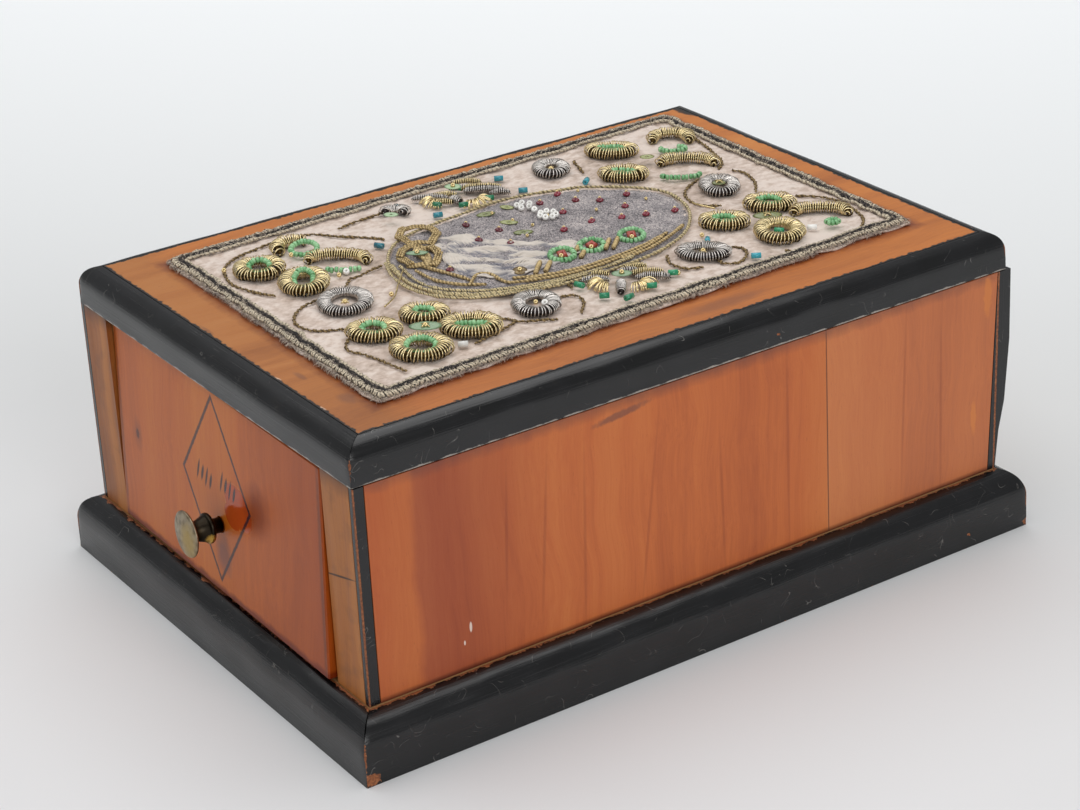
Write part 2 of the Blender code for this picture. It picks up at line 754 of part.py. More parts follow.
def make_flowers():
    """The gold petals, silver rings, side flowers and bead rosettes on the cloth."""
    flowers = {
        "front_left": FRONT_LEFT_PETALS,
        "front_right": FRONT_RIGHT_PETALS,
        "back_left": BACK_LEFT_PETALS,
        "back_right": BACK_RIGHT_PETALS,
    }
    for corner, petals in flowers.items():
        for number, petal in enumerate(petals, 1):
            name = f"petal_{corner}_{number}"
            purl(name, petal, GOLD_PURL_RADIUS, GOLD_POINTS, GOLD_THREAD)
    for number, ring in enumerate(SILVER_RINGS, 1):
        name = f"silver_ring_{number}"
        purl(name, ring, SILVER_PURL_RADIUS, SILVER_POINTS, SILVER_THREAD)
    for side, flower in SIDE_FLOWERS.items():
        side_flower(f"side_flower_{side}", flower)
    radius = BEAD_RADIUS * PATTERN_UNIT
    level = SEWN_LEVEL + MEDALLION_PAD_THICKNESS + JOINT_GAP + radius
    for number, (across, along) in enumerate(BEAD_ROSETTES, 1):
        centre = on_cloth(across, along)
        points = []
        for step in range(BEAD_ROSETTE_POINTS):
            turn = 2 * math.pi * step / BEAD_ROSETTE_POINTS
            reach = BEAD_ROSETTE_RADIUS * PATTERN_UNIT
            x = centre.x + reach * math.cos(turn)
            y = centre.y + reach * math.sin(turn)
            points.append((x, y, level))
        radii = [1.0 - PURL_RIB_DEPTH * (step % 2) for step in range(len(points))]
        thread(f"bead_rosette_{number}", points, radius, True, GREEN_BEADS, radii)


clear_scene()
PARTS = new_collection("embroidered_box")
CUTTERS = new_collection("cutters")
TOP_WOOD = new_material("top_wood", (0.51, 0.23, 0.09), 0.45)
SIDE_WOOD = new_material("side_wood", (0.42, 0.15, 0.06), 0.4)
FRONT_WOOD = new_material("front_wood", (0.38, 0.13, 0.06), 0.4)
STILE_WOOD = new_material("stile_wood", (0.40, 0.18, 0.08), 0.45)
PLAIN_WOOD = new_material("plain_wood", (0.48, 0.30, 0.17), 0.7)
EBONISED = new_material("ebonised_wood", (0.018, 0.016, 0.017), 0.35)
BRASS = new_material("brass", (0.42, 0.36, 0.20), 0.35, 1.0)
CLOTH = new_material("cloth", (0.58, 0.50, 0.42), 0.9)
DARK_THREAD = new_material("dark_thread", (0.17, 0.14, 0.12), 0.8)
GREY_CHENILLE = new_material("grey_chenille", (0.30, 0.28, 0.29), 0.9)
GOLD_THREAD = new_material("gold_thread", (0.42, 0.29, 0.09), 0.35, 1.0)
SILVER_THREAD = new_material("silver_thread", (0.40, 0.38, 0.36), 0.35, 1.0)
GREEN_BEADS = new_material("green_beads", (0.16, 0.43, 0.17), 0.25)
make_base()
make_case()
make_top()
make_drawer()
make_cloth()
make_flowers()
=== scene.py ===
"""Embroidered keepsake box: a veneered fruitwood case with ebonised mouldings, one drawer,
and a panel of gold purl and bead embroidery laid on its top.

Sizes are in millimetres, turned to metres where a mesh is made. The drawer front faces
-Y, the length runs along Y, and the underside lies at Z = 0.
"""
import math

import bpy
import numpy as np
from mathutils import Matrix, Vector


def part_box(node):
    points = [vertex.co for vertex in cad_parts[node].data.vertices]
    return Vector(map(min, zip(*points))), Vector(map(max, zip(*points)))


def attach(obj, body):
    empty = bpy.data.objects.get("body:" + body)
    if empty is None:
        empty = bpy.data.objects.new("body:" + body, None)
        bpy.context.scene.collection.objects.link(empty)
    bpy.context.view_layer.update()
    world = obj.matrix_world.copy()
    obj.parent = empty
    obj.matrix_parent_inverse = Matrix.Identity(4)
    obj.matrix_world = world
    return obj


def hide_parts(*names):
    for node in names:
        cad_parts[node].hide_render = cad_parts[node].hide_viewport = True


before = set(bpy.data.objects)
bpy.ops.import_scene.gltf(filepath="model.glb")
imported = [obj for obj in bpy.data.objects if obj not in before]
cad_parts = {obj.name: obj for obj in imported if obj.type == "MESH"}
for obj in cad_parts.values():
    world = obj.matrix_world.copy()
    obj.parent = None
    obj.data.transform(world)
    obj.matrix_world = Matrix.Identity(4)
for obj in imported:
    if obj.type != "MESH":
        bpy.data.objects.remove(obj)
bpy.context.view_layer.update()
MM = 0.001

# The viewpoint of the photograph: a long lens from the right front, a little above the
# box and turned slightly anticlockwise. Place in mm, angles in degrees.
VIEW_PLACE = Vector((687.86, -450.47, 437.89)) * MM
VIEW_TURN, VIEW_TILT, VIEW_ROLL = (math.radians(a) for a in (56.8488, 64.6967, -2.7945))
lens = bpy.data.cameras.new("camera")
lens.lens = 91.02
lens.sensor_width = 36.0
lens.clip_start = 0.01
camera = bpy.data.objects.new("camera", lens)
camera.matrix_world = (Matrix.Translation(VIEW_PLACE) @ Matrix.Rotation(VIEW_TURN, 4, "Z")
                       @ Matrix.Rotation(VIEW_TILT, 4, "X") @ Matrix.Rotation(VIEW_ROLL, 4, "Z"))
bpy.context.collection.objects.link(camera)
bpy.context.scene.camera = camera


# The studio: a wide pale paper floor in a dim room, under one big soft lamp overhead and
# two weak fills, which give soft shadows and pale reflections from below.
def srgb(code):
    """The linear colour, with alpha, of an sRGB hex code."""
    values = [int(code[k:k + 2], 16) / 255 for k in (0, 2, 4)]
    linear = [v / 12.92 if v <= 0.04045 else ((v + 0.055) / 1.055) ** 2.4 for v in values]
    return (*linear, 1.0)


def fill(made, inputs):
    """Fills a node's inputs: an output socket is linked, and a plain value is set."""
    for name, value in inputs.items():
        if isinstance(value, bpy.types.NodeSocket):
            made.id_data.links.new(value, made.inputs[name])
        else:
            made.inputs[name].default_value = value


def node(tree, kind, inputs=None, stops=(), **settings):
    """Adds a shader node with its settings, its colour stops and its inputs, and gives
    the first of its outputs that is in use."""
    made = tree.nodes.new("ShaderNode" + kind)
    for name, value in settings.items():
        setattr(made, name, value)
    for number, (place, colour) in enumerate(stops):
        elements = made.color_ramp.elements
        element = elements[number] if number < len(elements) else elements.new(1.0)
        element.position = place
        element.color = srgb(colour)
    fill(made, inputs or {})
    return next(output for output in made.outputs if output.enabled)


def new_material(name, **values):
    """A material, its node tree, its Principled shader set to plain values, and the
    place on the object, which patterns read."""
    made = bpy.data.materials.new(name)
    made.use_nodes = True
    tree = made.node_tree
    shader = tree.nodes["Principled BSDF"]
    fill(shader, {socket.replace("_", " "): value for socket, value in values.items()})
    return made, tree, shader, node(tree, "TexCoord").node.outputs["Object"]


def add_piece(name, mesh, material):
    """Links a finished mesh as an object at the origin, with its material."""
    made = bpy.data.objects.new(name, mesh)
    mesh.materials.append(material)
    bpy.context.collection.objects.link(made)
    return made


paper, tree, shader, place = new_material("matt_backdrop_paper", Roughness=0.9)
way = node(tree, "SeparateXYZ", {"Vector": place}).node.outputs
# The paper's tone is painted lighter towards the back and the left: a painted light falloff over
# the floor.
depth = node(tree, "Math", {0: way["Y"], 1: way["X"]}, operation="SUBTRACT")
shade = node(tree, "MapRange", {"Value": depth, "From Min": -0.3, "From Max": 0.85})
tone = node(tree, "ValToRGB", {"Fac": shade},
            stops=[(0.0, "E0E0E1"), (0.42, "DCDDDD"), (1.0, "FCFEFF")])
fill(shader, {"Base Color": tone})
FLOOR_HALF = 6.0
floor_mesh = bpy.data.meshes.new("floor")
floor_mesh.from_pydata([(x * FLOOR_HALF, y * FLOOR_HALF, 0)
                        for x, y in ((-1, -1), (1, -1), (1, 1), (-1, 1))], [], [(0, 1, 2, 3)])
floor = add_piece("floor", floor_mesh, paper)

world = bpy.data.worlds.new("room_light")
world.use_nodes = True
fill(world.node_tree.nodes["Background"], {"Color": srgb("F4F6F8"), "Strength": 0.36})
bpy.context.scene.world = world
bpy.context.scene.view_settings.view_transform = "Standard"

# Each lamp: name, place in metres, size, power.
LAMPS = (
    ("overhead", (-0.3, 0.0, 1.5), 2.0, 20.0),
    ("front_fill", (-0.5, -1.6, 0.8), 0.9, 1.5),
    ("right_fill", (1.6, -0.2, 0.8), 1.0, 11.0),
)
for name, at, size, power in LAMPS:
    lamp = bpy.data.lights.new(name, "AREA")
    lamp.size = size
    lamp.energy = power
    lamp_object = bpy.data.objects.new(name, lamp)
    lamp_object.location = at
    aim = Vector((0, 0, 0.06)) - Vector(at)
    lamp_object.rotation_euler = aim.to_track_quat("-Z", "Y").to_euler()
    bpy.context.collection.objects.link(lamp_object)


# Base board and its moulding: a plain slab with four mitred lengths of fruitwood moulding
# round it, stained black and French polished, brushed lengthwise by hand. The polish has
# fine scratches, and it is rubbed through to orange wood at the arrises.
def unit(vectors):
    """Vectors scaled to a length of 1."""
    return vectors / np.maximum(np.linalg.norm(vectors, axis=-1, keepdims=True), 1e-9)


def ripple(points, wavelength, seed, waves=10):
    """A smooth random field near -1 to 1: the sum of sine waves that run in random
    directions through the points, with wavelengths about the one given."""
    rng = np.random.default_rng(seed)
    direction = unit(rng.normal(size=(waves, points.shape[-1])))
    rate = 2 * np.pi / (wavelength * rng.uniform(0.6, 1.5, waves))
    phase = rng.uniform(0, 2 * np.pi, waves)
    return np.sin(points @ (direction * rate[:, None]).T + phase).sum(-1) / waves ** 0.5


def grid_faces(rows, columns, rows_wrap=False, columns_wrap=False):
    """The quads of a grid of points, numbered row by row."""
    r = np.arange(rows if rows_wrap else rows - 1)[:, None]
    c = np.arange(columns if columns_wrap else columns - 1)[None, :]
    r1 = (r + 1) % rows
    c1 = (c + 1) % columns
    quads = np.stack((r * columns + c, r * columns + c1, r1 * columns + c1,
                      r1 * columns + c), axis=-1)
    return quads.reshape(-1, 4)


def fan(ring, centre, turn=False):
    """Triangles that close a ring of points with a centre point."""
    following = np.roll(ring, -1)
    middle = np.full_like(ring, centre)
    order = (following, ring, middle) if turn else (ring, following, middle)
    return np.stack(order, axis=-1)


def join(shells):
    """Joins shells of (points, quads, triangles, marks) into one shell."""
    points, quads, triangles, marks, start = [], [], [], [], 0
    for shell_points, shell_quads, shell_triangles, shell_marks in shells:
        points.append(shell_points)
        quads.append(shell_quads + start)
        triangles.append(shell_triangles + start)
        marks.append(np.broadcast_to(shell_marks, len(shell_points)))
        start += len(shell_points)
    return (np.concatenate(points), np.concatenate(quads),
            np.concatenate(triangles), np.concatenate(marks))


def mesh_from(name, shell, sharp=None):
    """A smooth mesh in metres from a shell in mm, sharp past an angle in degrees if one is
    given. Its marks become the point attribute "mark"."""
    points, quads, triangles, marks = shell
    corners = np.concatenate((quads.ravel(), triangles.ravel()))
    sizes = np.repeat((4, 3), (len(quads), len(triangles)))
    mesh = bpy.data.meshes.new(name)
    mesh.vertices.add(len(points))
    mesh.vertices.foreach_set("co", (points * MM).ravel())
    mesh.loops.add(len(corners))
    mesh.loops.foreach_set("vertex_index", corners)
    mesh.polygons.add(len(sizes))
    mesh.polygons.foreach_set("loop_start", np.concatenate(([0], np.cumsum(sizes)[:-1])))
    mesh.update(calc_edges=True)
    mesh.validate()
    mesh.polygons.foreach_set("use_smooth", np.full(len(mesh.polygons), True))
    held = mesh.attributes.new("mark", "FLOAT", "POINT")
    held.data.foreach_set("value", np.broadcast_to(marks, len(points)).astype(np.float32))
    if sharp:
        mesh.set_sharp_from_angle(angle=math.radians(sharp))
    return mesh


def finish_piece(name, shell, material, replaces=(), body="case", sharp=None):
    """Adds a piece from its shell, rides it on its body, and hides the nodes that it
    stands for."""
    made = add_piece(name, mesh_from(name, shell, sharp), material)
    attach(made, body)
    if replaces:
        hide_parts(*replaces)
    return made


NO_TRIANGLES = np.zeros((0, 3), dtype=int)


def node_box(name):
    """A node's lowest and highest corners, in mm."""
    low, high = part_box(name)
    return np.array(low) / MM, np.array(high) / MM


def moulding(side, width, corner_width, run, distance, face, height, level, chips, dust,
             seed):
    """One mitred length of moulding. Its section is an upright face with a quarter
    ellipse above; it runs along the side, and each end follows the mitre plane, so a
    point's reach along the side grows with how far out it lies. The surface wavers by a
    tenth of a millimetre, as hand work does, and dips where it is chipped. The mark says
    how bare of black it is: high at chips, arrises and mitres, and under 0 where dust and
    glue line its foot."""
    # The gap to the board, the step along and the hand's waver, in mm; how much the rows
    # crowd towards the ends; and how many points lie on each part of the section.
    gap, step, hand_waver, crowding = 0.3, 0.9, 0.10, 0.12
    steps_round, steps_face, steps_in = 18, 8, 8
    turn = np.linspace(0, np.pi / 2, steps_round)
    out = np.concatenate((
        np.linspace(gap, width, steps_in)[:-1], np.full(steps_face, width)[:-1],
        gap + (width - gap) * np.cos(turn), np.full(steps_in, gap)[1:-1]))
    rise = np.concatenate((
        np.zeros(steps_in)[:-1], np.linspace(0, face, steps_face)[:-1],
        face + (height - face) * np.sin(turn), np.linspace(height, 0, steps_in)[1:-1]))
    share = np.linspace(-1, 1, int(run * 2 / step))
    share = np.sin(share * np.pi / 2) * crowding + share * (1 - crowding)
    outward = np.array({"front": (0, -1), "right": (1, 0), "back": (0, 1),
                        "left": (-1, 0)}[side], dtype=float)
    along = np.array((outward[1], -outward[0]))
    reach = run + out * corner_width / width - gap / 2
    distance_along = share[:, None] * reach[None, :]
    flat = np.stack((distance_along, np.broadcast_to(out, distance_along.shape),
                     np.broadcast_to(rise, distance_along.shape)), axis=-1)
    waver = ripple(flat * (1, 2.5, 2.5), 28.0, seed) * hand_waver
    shown = np.clip((out - gap) / 1.5, 0, 1) * np.clip(rise / 2.0, 0, 1)
    end_gap = reach[None, :] * (1 - np.abs(share[:, None]))
    worn_arris = np.exp(-end_gap / 0.9) * np.clip((out - 0.75 * width) / (0.25 * width), 0, 1)
    upright = np.clip(rise / face, 0, 1)
    moved_out = out + waver * shown - 0.35 * worn_arris * upright
    moved_up = rise + waver * shown * 0.6
    near_foot = np.exp(-np.abs(rise) / 0.9) * (out > 0.9 * width)
    near_head = np.exp(-(height - rise) / 0.6) * (rise > face)
    bare = 0.60 * worn_arris * (0.35 + upright) + 0.36 * near_foot + 0.30 * near_head
    bare = bare + 0.12 * ripple(flat, 3.0, seed + 5)
    under = np.exp(-np.abs(rise) / 0.35) * (out > 0.93 * width) * dust
    bare = bare - under * (1.3 + 0.4 * ripple(flat, 6.0, seed + 6))
    at_wall = np.exp(-(out - gap) / 0.8) * (rise > face) * (1 - dust)
    bare = bare + 0.50 * at_wall * (1 + 0.4 * ripple(flat, 9.0, seed + 7))
    for chip_along, chip_rise, chip_half, chip_tall, chip_depth in chips:
        far = np.hypot((distance_along - chip_along) / chip_half, (rise - chip_rise) / chip_tall)
        hollow = np.clip(1.25 - far, 0, 1)
        moved_out = moved_out - chip_depth * hollow * shown
        bare = bare + 1.3 * hollow * shown
    flat = outward * (distance + moved_out)[..., None] + along * distance_along[..., None]
    points = np.concatenate((flat, (level + moved_up)[..., None]), axis=-1)
    rows, columns = points.shape[:2]
    ends = np.stack((points[0].mean(0), points[-1].mean(0)))
    quads = grid_faces(rows, columns, columns_wrap=True)
    first = np.arange(columns)
    last = first + (rows - 1) * columns
    count = rows * columns
    caps = np.concatenate((fan(first, count, turn=True), fan(last, count + 1)))
    marks = np.concatenate((bare.ravel(), (0.0, 0.0)))
    return outward_shell((np.concatenate((points.reshape(-1, 3), ends)), quads, caps, marks))


def outward_shell(shell):
    """Turns a closed shell's faces round if its volume comes out negative."""
    points, quads, triangles, marks = shell
    halves = np.concatenate((quads[:, :3], quads[:, [0, 2, 3]], triangles))
    a, b, c = (points[halves[:, k]] for k in range(3))
    if np.einsum("ij,ij->i", a, np.cross(b, c)).sum() < 0:
        return points, quads[:, ::-1], triangles[:, ::-1], marks
    return shell


def patch(tree, place, centre, half, turn=(0, 0, 0), soft=0.3, ragged=0.0, teeth=2.0):
    """How far a place lies inside a turned ellipsoid, with its centre and half sizes in
    mm: 1 well inside and 0 outside, over a soft edge that noise makes ragged."""
    local = node(tree, "Mapping", {"Vector": place, "Rotation": turn,
                                   "Location": [c * MM for c in centre],
                                   "Scale": [h * MM for h in half]}, vector_type="TEXTURE")
    far = node(tree, "VectorMath", {0: local}, operation="LENGTH")
    if ragged:
        noise = node(tree, "TexNoise", {"Vector": place, "Scale": 1 / (teeth * MM), "Detail": 4.0})
        far = node(tree, "Math", {0: noise, 1: 2 * ragged, 2: far}, operation="MULTIPLY_ADD")
    middle = 1.0 + ragged
    return node(tree, "MapRange", {"Value": far, "From Min": middle + soft / 2,
                                   "From Max": middle - soft / 2})


def tint(tree, base, factor, colour, share=1.0, blend="MIX"):
    """The colour so far with another laid over it, by a share of the factor."""
    part = node(tree, "Math", {0: factor, 1: share}, operation="MULTIPLY")
    colour = srgb(colour) if isinstance(colour, str) else colour
    return node(tree, "Mix", {"Factor": part, "A": base, "B": colour}, data_type="RGBA",
                blend_type=blend)


def ebonised(name, grain, rubbed=()):
    """Black stained, French polished fruitwood. The polish is thin and satin, with fine
    lengthwise brush marks and a few hair scratches, which catch the light, and a
    brownish black where it thins. Bare orange wood shows where the mark is high,
    and in the rubbed places, each given by its centre and half sizes in mm."""
    material, tree, shader, place = new_material(name, Specular_IOR_Level=0.55)
    # Brush marks 0.5 mm apart and 40 mm long, drawn along the moulding.
    scale = [1 / (0.5 * MM)] * 3
    scale["XYZ".index(grain)] = 1 / (40 * MM)
    drawn = node(tree, "Mapping", {"Vector": place, "Scale": scale})
    brush = node(tree, "TexNoise", {"Vector": drawn, "Scale": 1.0, "Detail": 3.0,
                                    "Roughness": 0.6})
    # Thin and thick places in the black, some 12 mm across.
    cloud = node(tree, "TexNoise", {"Vector": place, "Scale": 1 / (12 * MM), "Detail": 5.0})
    # The ragged boundary of bare wood, with teeth near 0.7 mm.
    teeth = node(tree, "TexNoise", {"Vector": place, "Scale": 1 / (0.7 * MM), "Detail": 4.0})
    mark = node(tree, "Attribute", attribute_name="mark").node.outputs["Fac"]
    ragged = node(tree, "Math", {0: teeth, 1: 0.62, 2: mark}, operation="MULTIPLY_ADD")
    bare = node(tree, "MapRange", {"Value": ragged, "From Min": 0.82, "From Max": 0.92})
    for centre, half in rubbed:
        spot = patch(tree, place, centre, half, ragged=0.6, teeth=1.0)
        bare = node(tree, "Math", {0: bare, 1: spot}, operation="MAXIMUM")
    # Hair scratches: the thin contour line of a smooth noise 8 mm across, kept in patches.
    bend = node(tree, "TexNoise", {"Vector": place, "Scale": 1 / (8 * MM), "Detail": 1.0,
                                   "Distortion": 0.8})
    off = node(tree, "Math", {0: bend, 1: 0.5}, operation="SUBTRACT")
    off = node(tree, "Math", {0: off}, operation="ABSOLUTE")
    hair = node(tree, "MapRange", {"Value": off, "From Min": 0.005, "From Max": 0.0})
    kept = node(tree, "TexNoise", {"Vector": place, "Scale": 1 / (5 * MM), "Detail": 3.0})
    kept = node(tree, "MapRange", {"Value": kept, "From Min": 0.54, "From Max": 0.62,
                                   "To Max": 0.6})
    scratch = node(tree, "Math", {0: hair, 1: kept}, operation="MULTIPLY")
    black = node(tree, "ValToRGB", {"Fac": cloud},
                 stops=[(0.3, "040404"), (0.5, "08080A"), (0.66, "0E0E10"), (0.8, "19130F")])
    bare_wood = node(tree, "ValToRGB", {"Fac": teeth},
                     stops=[(0.3, "5E3018"), (0.55, "8E5028"), (0.75, "A86E42")])
    dusty = node(tree, "MapRange", {"Value": ragged, "From Min": -0.1, "From Max": -0.55})
    colour = tint(tree, black, scratch, "8A8782")
    colour = tint(tree, colour, dusty, "9C948C")
    colour = tint(tree, colour, bare, bare_wood)
    gloss = node(tree, "MapRange", {"Value": brush, "From Min": 0.3, "From Max": 0.7,
                                    "To Min": 0.13, "To Max": 0.3})
    rough = node(tree, "Math", {0: bare, 1: 0.4, 2: gloss}, operation="MULTIPLY_ADD")
    height = node(tree, "Math", {0: bare, 1: -1.2, 2: brush}, operation="MULTIPLY_ADD")
    bump = node(tree, "Bump", {"Height": height, "Distance": 0.12 * MM, "Strength": 0.6})
    fill(shader, {"Base Color": colour, "Roughness": rough, "Normal": bump})
    return material


EBONISED = {axis: ebonised(f"ebonised_fruitwood_{axis.lower()}", axis) for axis in "XY"}


def moulding_frame(prefix, corners, side_width, end_width, face, height, level, chips, dust,
                   seed):
    """Four mitred lengths round the rectangle (left, front, right, back), each standing
    for its own node."""
    left, front, right_edge, back = corners
    middle = np.array(((left + right_edge) / 2, (front + back) / 2, 0.0))
    half_x, half_y = (right_edge - left) / 2, (back - front) / 2
    end = (end_width, side_width, half_x, half_y)
    flank = (side_width, end_width, half_y, half_x)
    for number, side in enumerate(("front", "right", "back", "left")):
        sizes, axis = (flank, "Y") if number % 2 else (end, "X")
        shell = moulding(side, *sizes, face, height, level, chips.get(side, ()), dust,
                         seed + number)
        finish_piece(f"{prefix}_{side}_moulding", (shell[0] + middle, *shell[1:]),
                     EBONISED[axis], [f"{prefix}_{side}"], sharp=50)


board_low, board_high = node_box("base_board")
BASE_SIDE_WIDTH, BASE_END_WIDTH, BASE_FACE = 8.6, 7.7, 11.0
# Each chip: place along the side (to the right, seen from outside), height, half length,
# half height and depth.
BASE_CHIPS = {
    "right": ((-129.5, 0.8, 2.2, 1.5, 0.4), (-130.0, 19.0, 1.2, 1.2, 0.3),
              (-104.0, 5.1, 0.8, 1.0, 0.2), (127.5, 2.3, 3.2, 2.0, 0.5),
              (60.0, 0.3, 2.0, 0.5, 0.2), (-40.0, 0.2, 3.0, 0.4, 0.2)),
    "front": ((13.0, 20.3, 2.0, 0.3, 0.1), (66.0, 20.3, 1.4, 0.3, 0.1),
              (93.0, 0.4, 1.6, 0.9, 0.3)),
    "left": ((-40.0, 2.0, 3.0, 1.6, 0.3),),
    "back": ((30.0, 1.0, 3.5, 1.4, 0.3),),
}
moulding_frame("base_moulding", (board_low[0], board_low[1], board_high[0], board_high[1]),
               BASE_SIDE_WIDTH, BASE_END_WIDTH, BASE_FACE, height=board_high[2], level=0.0,
               chips=BASE_CHIPS, dust=0.0, seed=11)


# Case woods: the base board, side cores, back and tray are plain unpolished fruitwood.
# The veneers, stiles, top and drawer front are the same wood, polished with a thin warm
# varnish. The grain is fine and close, with broad soft bands of colour.
def wood(name, grain, tones, band_width, gloss, contrast=1.0, **values):
    """Fruitwood in three tones, dark to light, with its grain along one axis: broad
    bands, fine fibres 0.6 mm wide, and short dark pores. Returns the material, its tree,
    its shader, the colour so far and the object place, for a section to finish."""
    material, tree, shader, place = new_material(name, **values)
    sway = node(tree, "TexNoise", {"Vector": place, "Scale": 1 / (45 * MM), "Detail": 1.0})
    bent = node(tree, "Mix", {"Factor": 0.012, "A": place, "B": sway.node.outputs["Color"]},
                data_type="VECTOR")

    def grained(width, length, detail):
        """Noise drawn out along the grain: width across and length along, in mm."""
        scale = [1 / (width * MM)] * 3
        scale["XYZ".index(grain)] = 1 / (length * MM)
        spot = node(tree, "Mapping", {"Vector": bent, "Scale": scale})
        return node(tree, "TexNoise", {"Vector": spot, "Scale": 1.0, "Detail": detail,
                                       "Roughness": 0.55})

    bands = grained(band_width, 420, 2.0)
    fibres = grained(0.55, 26, 4.0)
    streaks = grained(3.2, 190, 3.0)
    pores = grained(0.3, 2.4, 1.0)
    blend = node(tree, "Math", {0: streaks, 1: 0.4, 2: bands}, operation="MULTIPLY_ADD")
    blend = node(tree, "Math", {0: fibres, 1: 0.3, 2: blend}, operation="MULTIPLY_ADD")
    level = node(tree, "MapRange", {"Value": blend, "From Min": 0.85 - 0.36 / contrast,
                                    "From Max": 0.85 + 0.36 / contrast})
    tone = node(tree, "ValToRGB", {"Fac": level}, stops=zip((0.1, 0.5, 0.9), tones))
    pits = node(tree, "MapRange", {"Value": pores, "From Min": 0.68, "From Max": 0.80,
                                   "To Max": 0.3})
    colour = tint(tree, tone, pits, tones[0], blend="MULTIPLY")
    rough = node(tree, "MapRange", {"Value": streaks, "From Min": 0.3, "From Max": 0.7,
                                    "To Min": gloss - 0.05, "To Max": gloss + 0.08})
    bump = node(tree, "Bump", {"Height": fibres, "Distance": 0.05 * MM, "Strength": 0.3})
    fill(shader, {"Base Color": colour, "Roughness": rough, "Normal": bump})
    return material, tree, shader, colour, place


def stained(tree, place, base, *patches):
    """The colour so far with patches laid over it, each given by its colour, its share,
    its centre and half sizes in mm, and how its edge runs."""
    for colour, share, centre, half, shape in patches:
        base = tint(tree, base, patch(tree, place, centre, half, **shape), colour, share)
    return base


def within(tree, value, start, end):
    """A factor that rises from 0 at one value to 1 at another, in mm."""
    return node(tree, "MapRange", {"Value": value, "From Min": start * MM, "From Max": end * MM})


def dress(material, *names):
    """Gives CAD nodes a material in place of their plain one."""
    for name in names:
        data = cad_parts[name].data
        data.materials.clear()
        data.materials.append(material)


plain_wood = wood("plain_fruitwood", "Y", ("8E6039", "B98A5A", "CDA576"), 22, 0.62)[0]
upright_wood = wood("upright_fruitwood", "Z", ("8A5A33", "B07C4B", "C59A69"), 18, 0.6)[0]
dress(plain_wood, "base_board", "drawer_side_left", "drawer_side_right", "drawer_bottom")
dress(upright_wood, "side_board_left", "side_board_right", "back_board", "drawer_back")
STRIP_ARRISES = [((x, y, 56), (0.42, 0.42, 60)) for x in (-86.9, 86.9)
                 for y in (-122.2, 122.2)]
strip_black = ebonised("ebonised_corner_strip", "Z", STRIP_ARRISES)
dress(strip_black, "corner_strip_front_left", "corner_strip_front_right",
      "corner_strip_back_left", "corner_strip_back_right")

# Side veneer: thin sheets of orange fruitwood, jointed upright, with a reddish band near
# the front, wavy grain lines, painted shade under the top moulding, varnish run at the foot,
# and drips.
side_wood, tree, shader, colour, place = wood(
    "varnished_side_veneer", "Z", ("9A4418", "BE632A", "CE7A3C"), 40, 0.34, 0.75)
way = node(tree, "SeparateXYZ", {"Vector": place}).node.outputs
sway = node(tree, "TexNoise", {"Vector": place, "Scale": 1 / (14 * MM), "Detail": 2.0})
swayed = node(tree, "Math", {0: sway, 1: 6 * MM, 2: way["Y"]}, operation="MULTIPLY_ADD")
band = node(tree, "Math", {0: within(tree, swayed, -101.5, -98.5),
                           1: within(tree, swayed, -52, -88)}, operation="MULTIPLY")
colour = tint(tree, colour, band, "DCCCE2", 0.95, "MULTIPLY")
colour = tint(tree, colour, within(tree, way["Y"], -30, -120), "E4CEC8", 0.8, "MULTIPLY")
colour = tint(tree, colour, within(tree, way["Y"], 49.9, 50.3), "C79A78", 0.12)
joint = patch(tree, place, (0, 50.2, 56), (200, 0.28, 60), (0.017, 0, 0), ragged=0.1)
colour = tint(tree, colour, joint, "4A2412", 0.75)
# Each grain line: y and z of its middle, half length and lean in radians.
GRAIN_LINES = ((-58.7, 54, 26, -0.076), (-44.2, 48, 30, -0.03), (-19.9, 50, 30, -0.127),
               (34.2, 55, 42, 0.01), (-72.0, 60, 22, -0.05), (8.0, 45, 24, 0.03),
               (82.0, 58, 30, -0.02), (98.0, 50, 30, 0.02))
for line_y, line_z, half_length, lean in GRAIN_LINES:
    streak = patch(tree, place, (0, line_y, line_z), (200, 0.55, half_length),
                   (lean, 0, 0), soft=0.8, ragged=0.2, teeth=9)
    colour = tint(tree, colour, streak, "A87058", 0.3, "MULTIPLY")
# A dark ragged band just under the top moulding: painted shade under its overhang.
colour = stained(tree, place, colour,
                 ("57322C", 0.65, (0, 0, 93), (200, 190, 4), dict(soft=0.9, ragged=0.35, teeth=5)))
colour = tint(tree, colour, within(tree, way["Z"], 22.3, 20.9), "45180A", 0.8)
WORN = dict(soft=0.5, ragged=0.5, teeth=2)
colour = stained(
    tree, place, colour,
    ("6B4034", 0.7, (87, -29.5, 86.9), (4, 9.5, 1.1),
     dict(turn=(0.11, 0, 0), soft=0.6, ragged=0.5, teeth=1.4)),
    ("E3D2C4", 0.85, (87, -86.2, 34.5), (4, 0.45, 1.7), {}),
    ("E3D2C4", 0.85, (87, -88.6, 29.9), (4, 0.3, 0.8), {}),
    ("D07A35", 0.7, (87, 117.5, 84.5), (4, 1.6, 7), WORN),
    ("D07A35", 0.7, (87, 112.5, 42), (4, 1.2, 6), WORN))
fill(shader, {"Base Color": colour})
dress(side_wood, "side_veneer_left", "side_veneer_right")
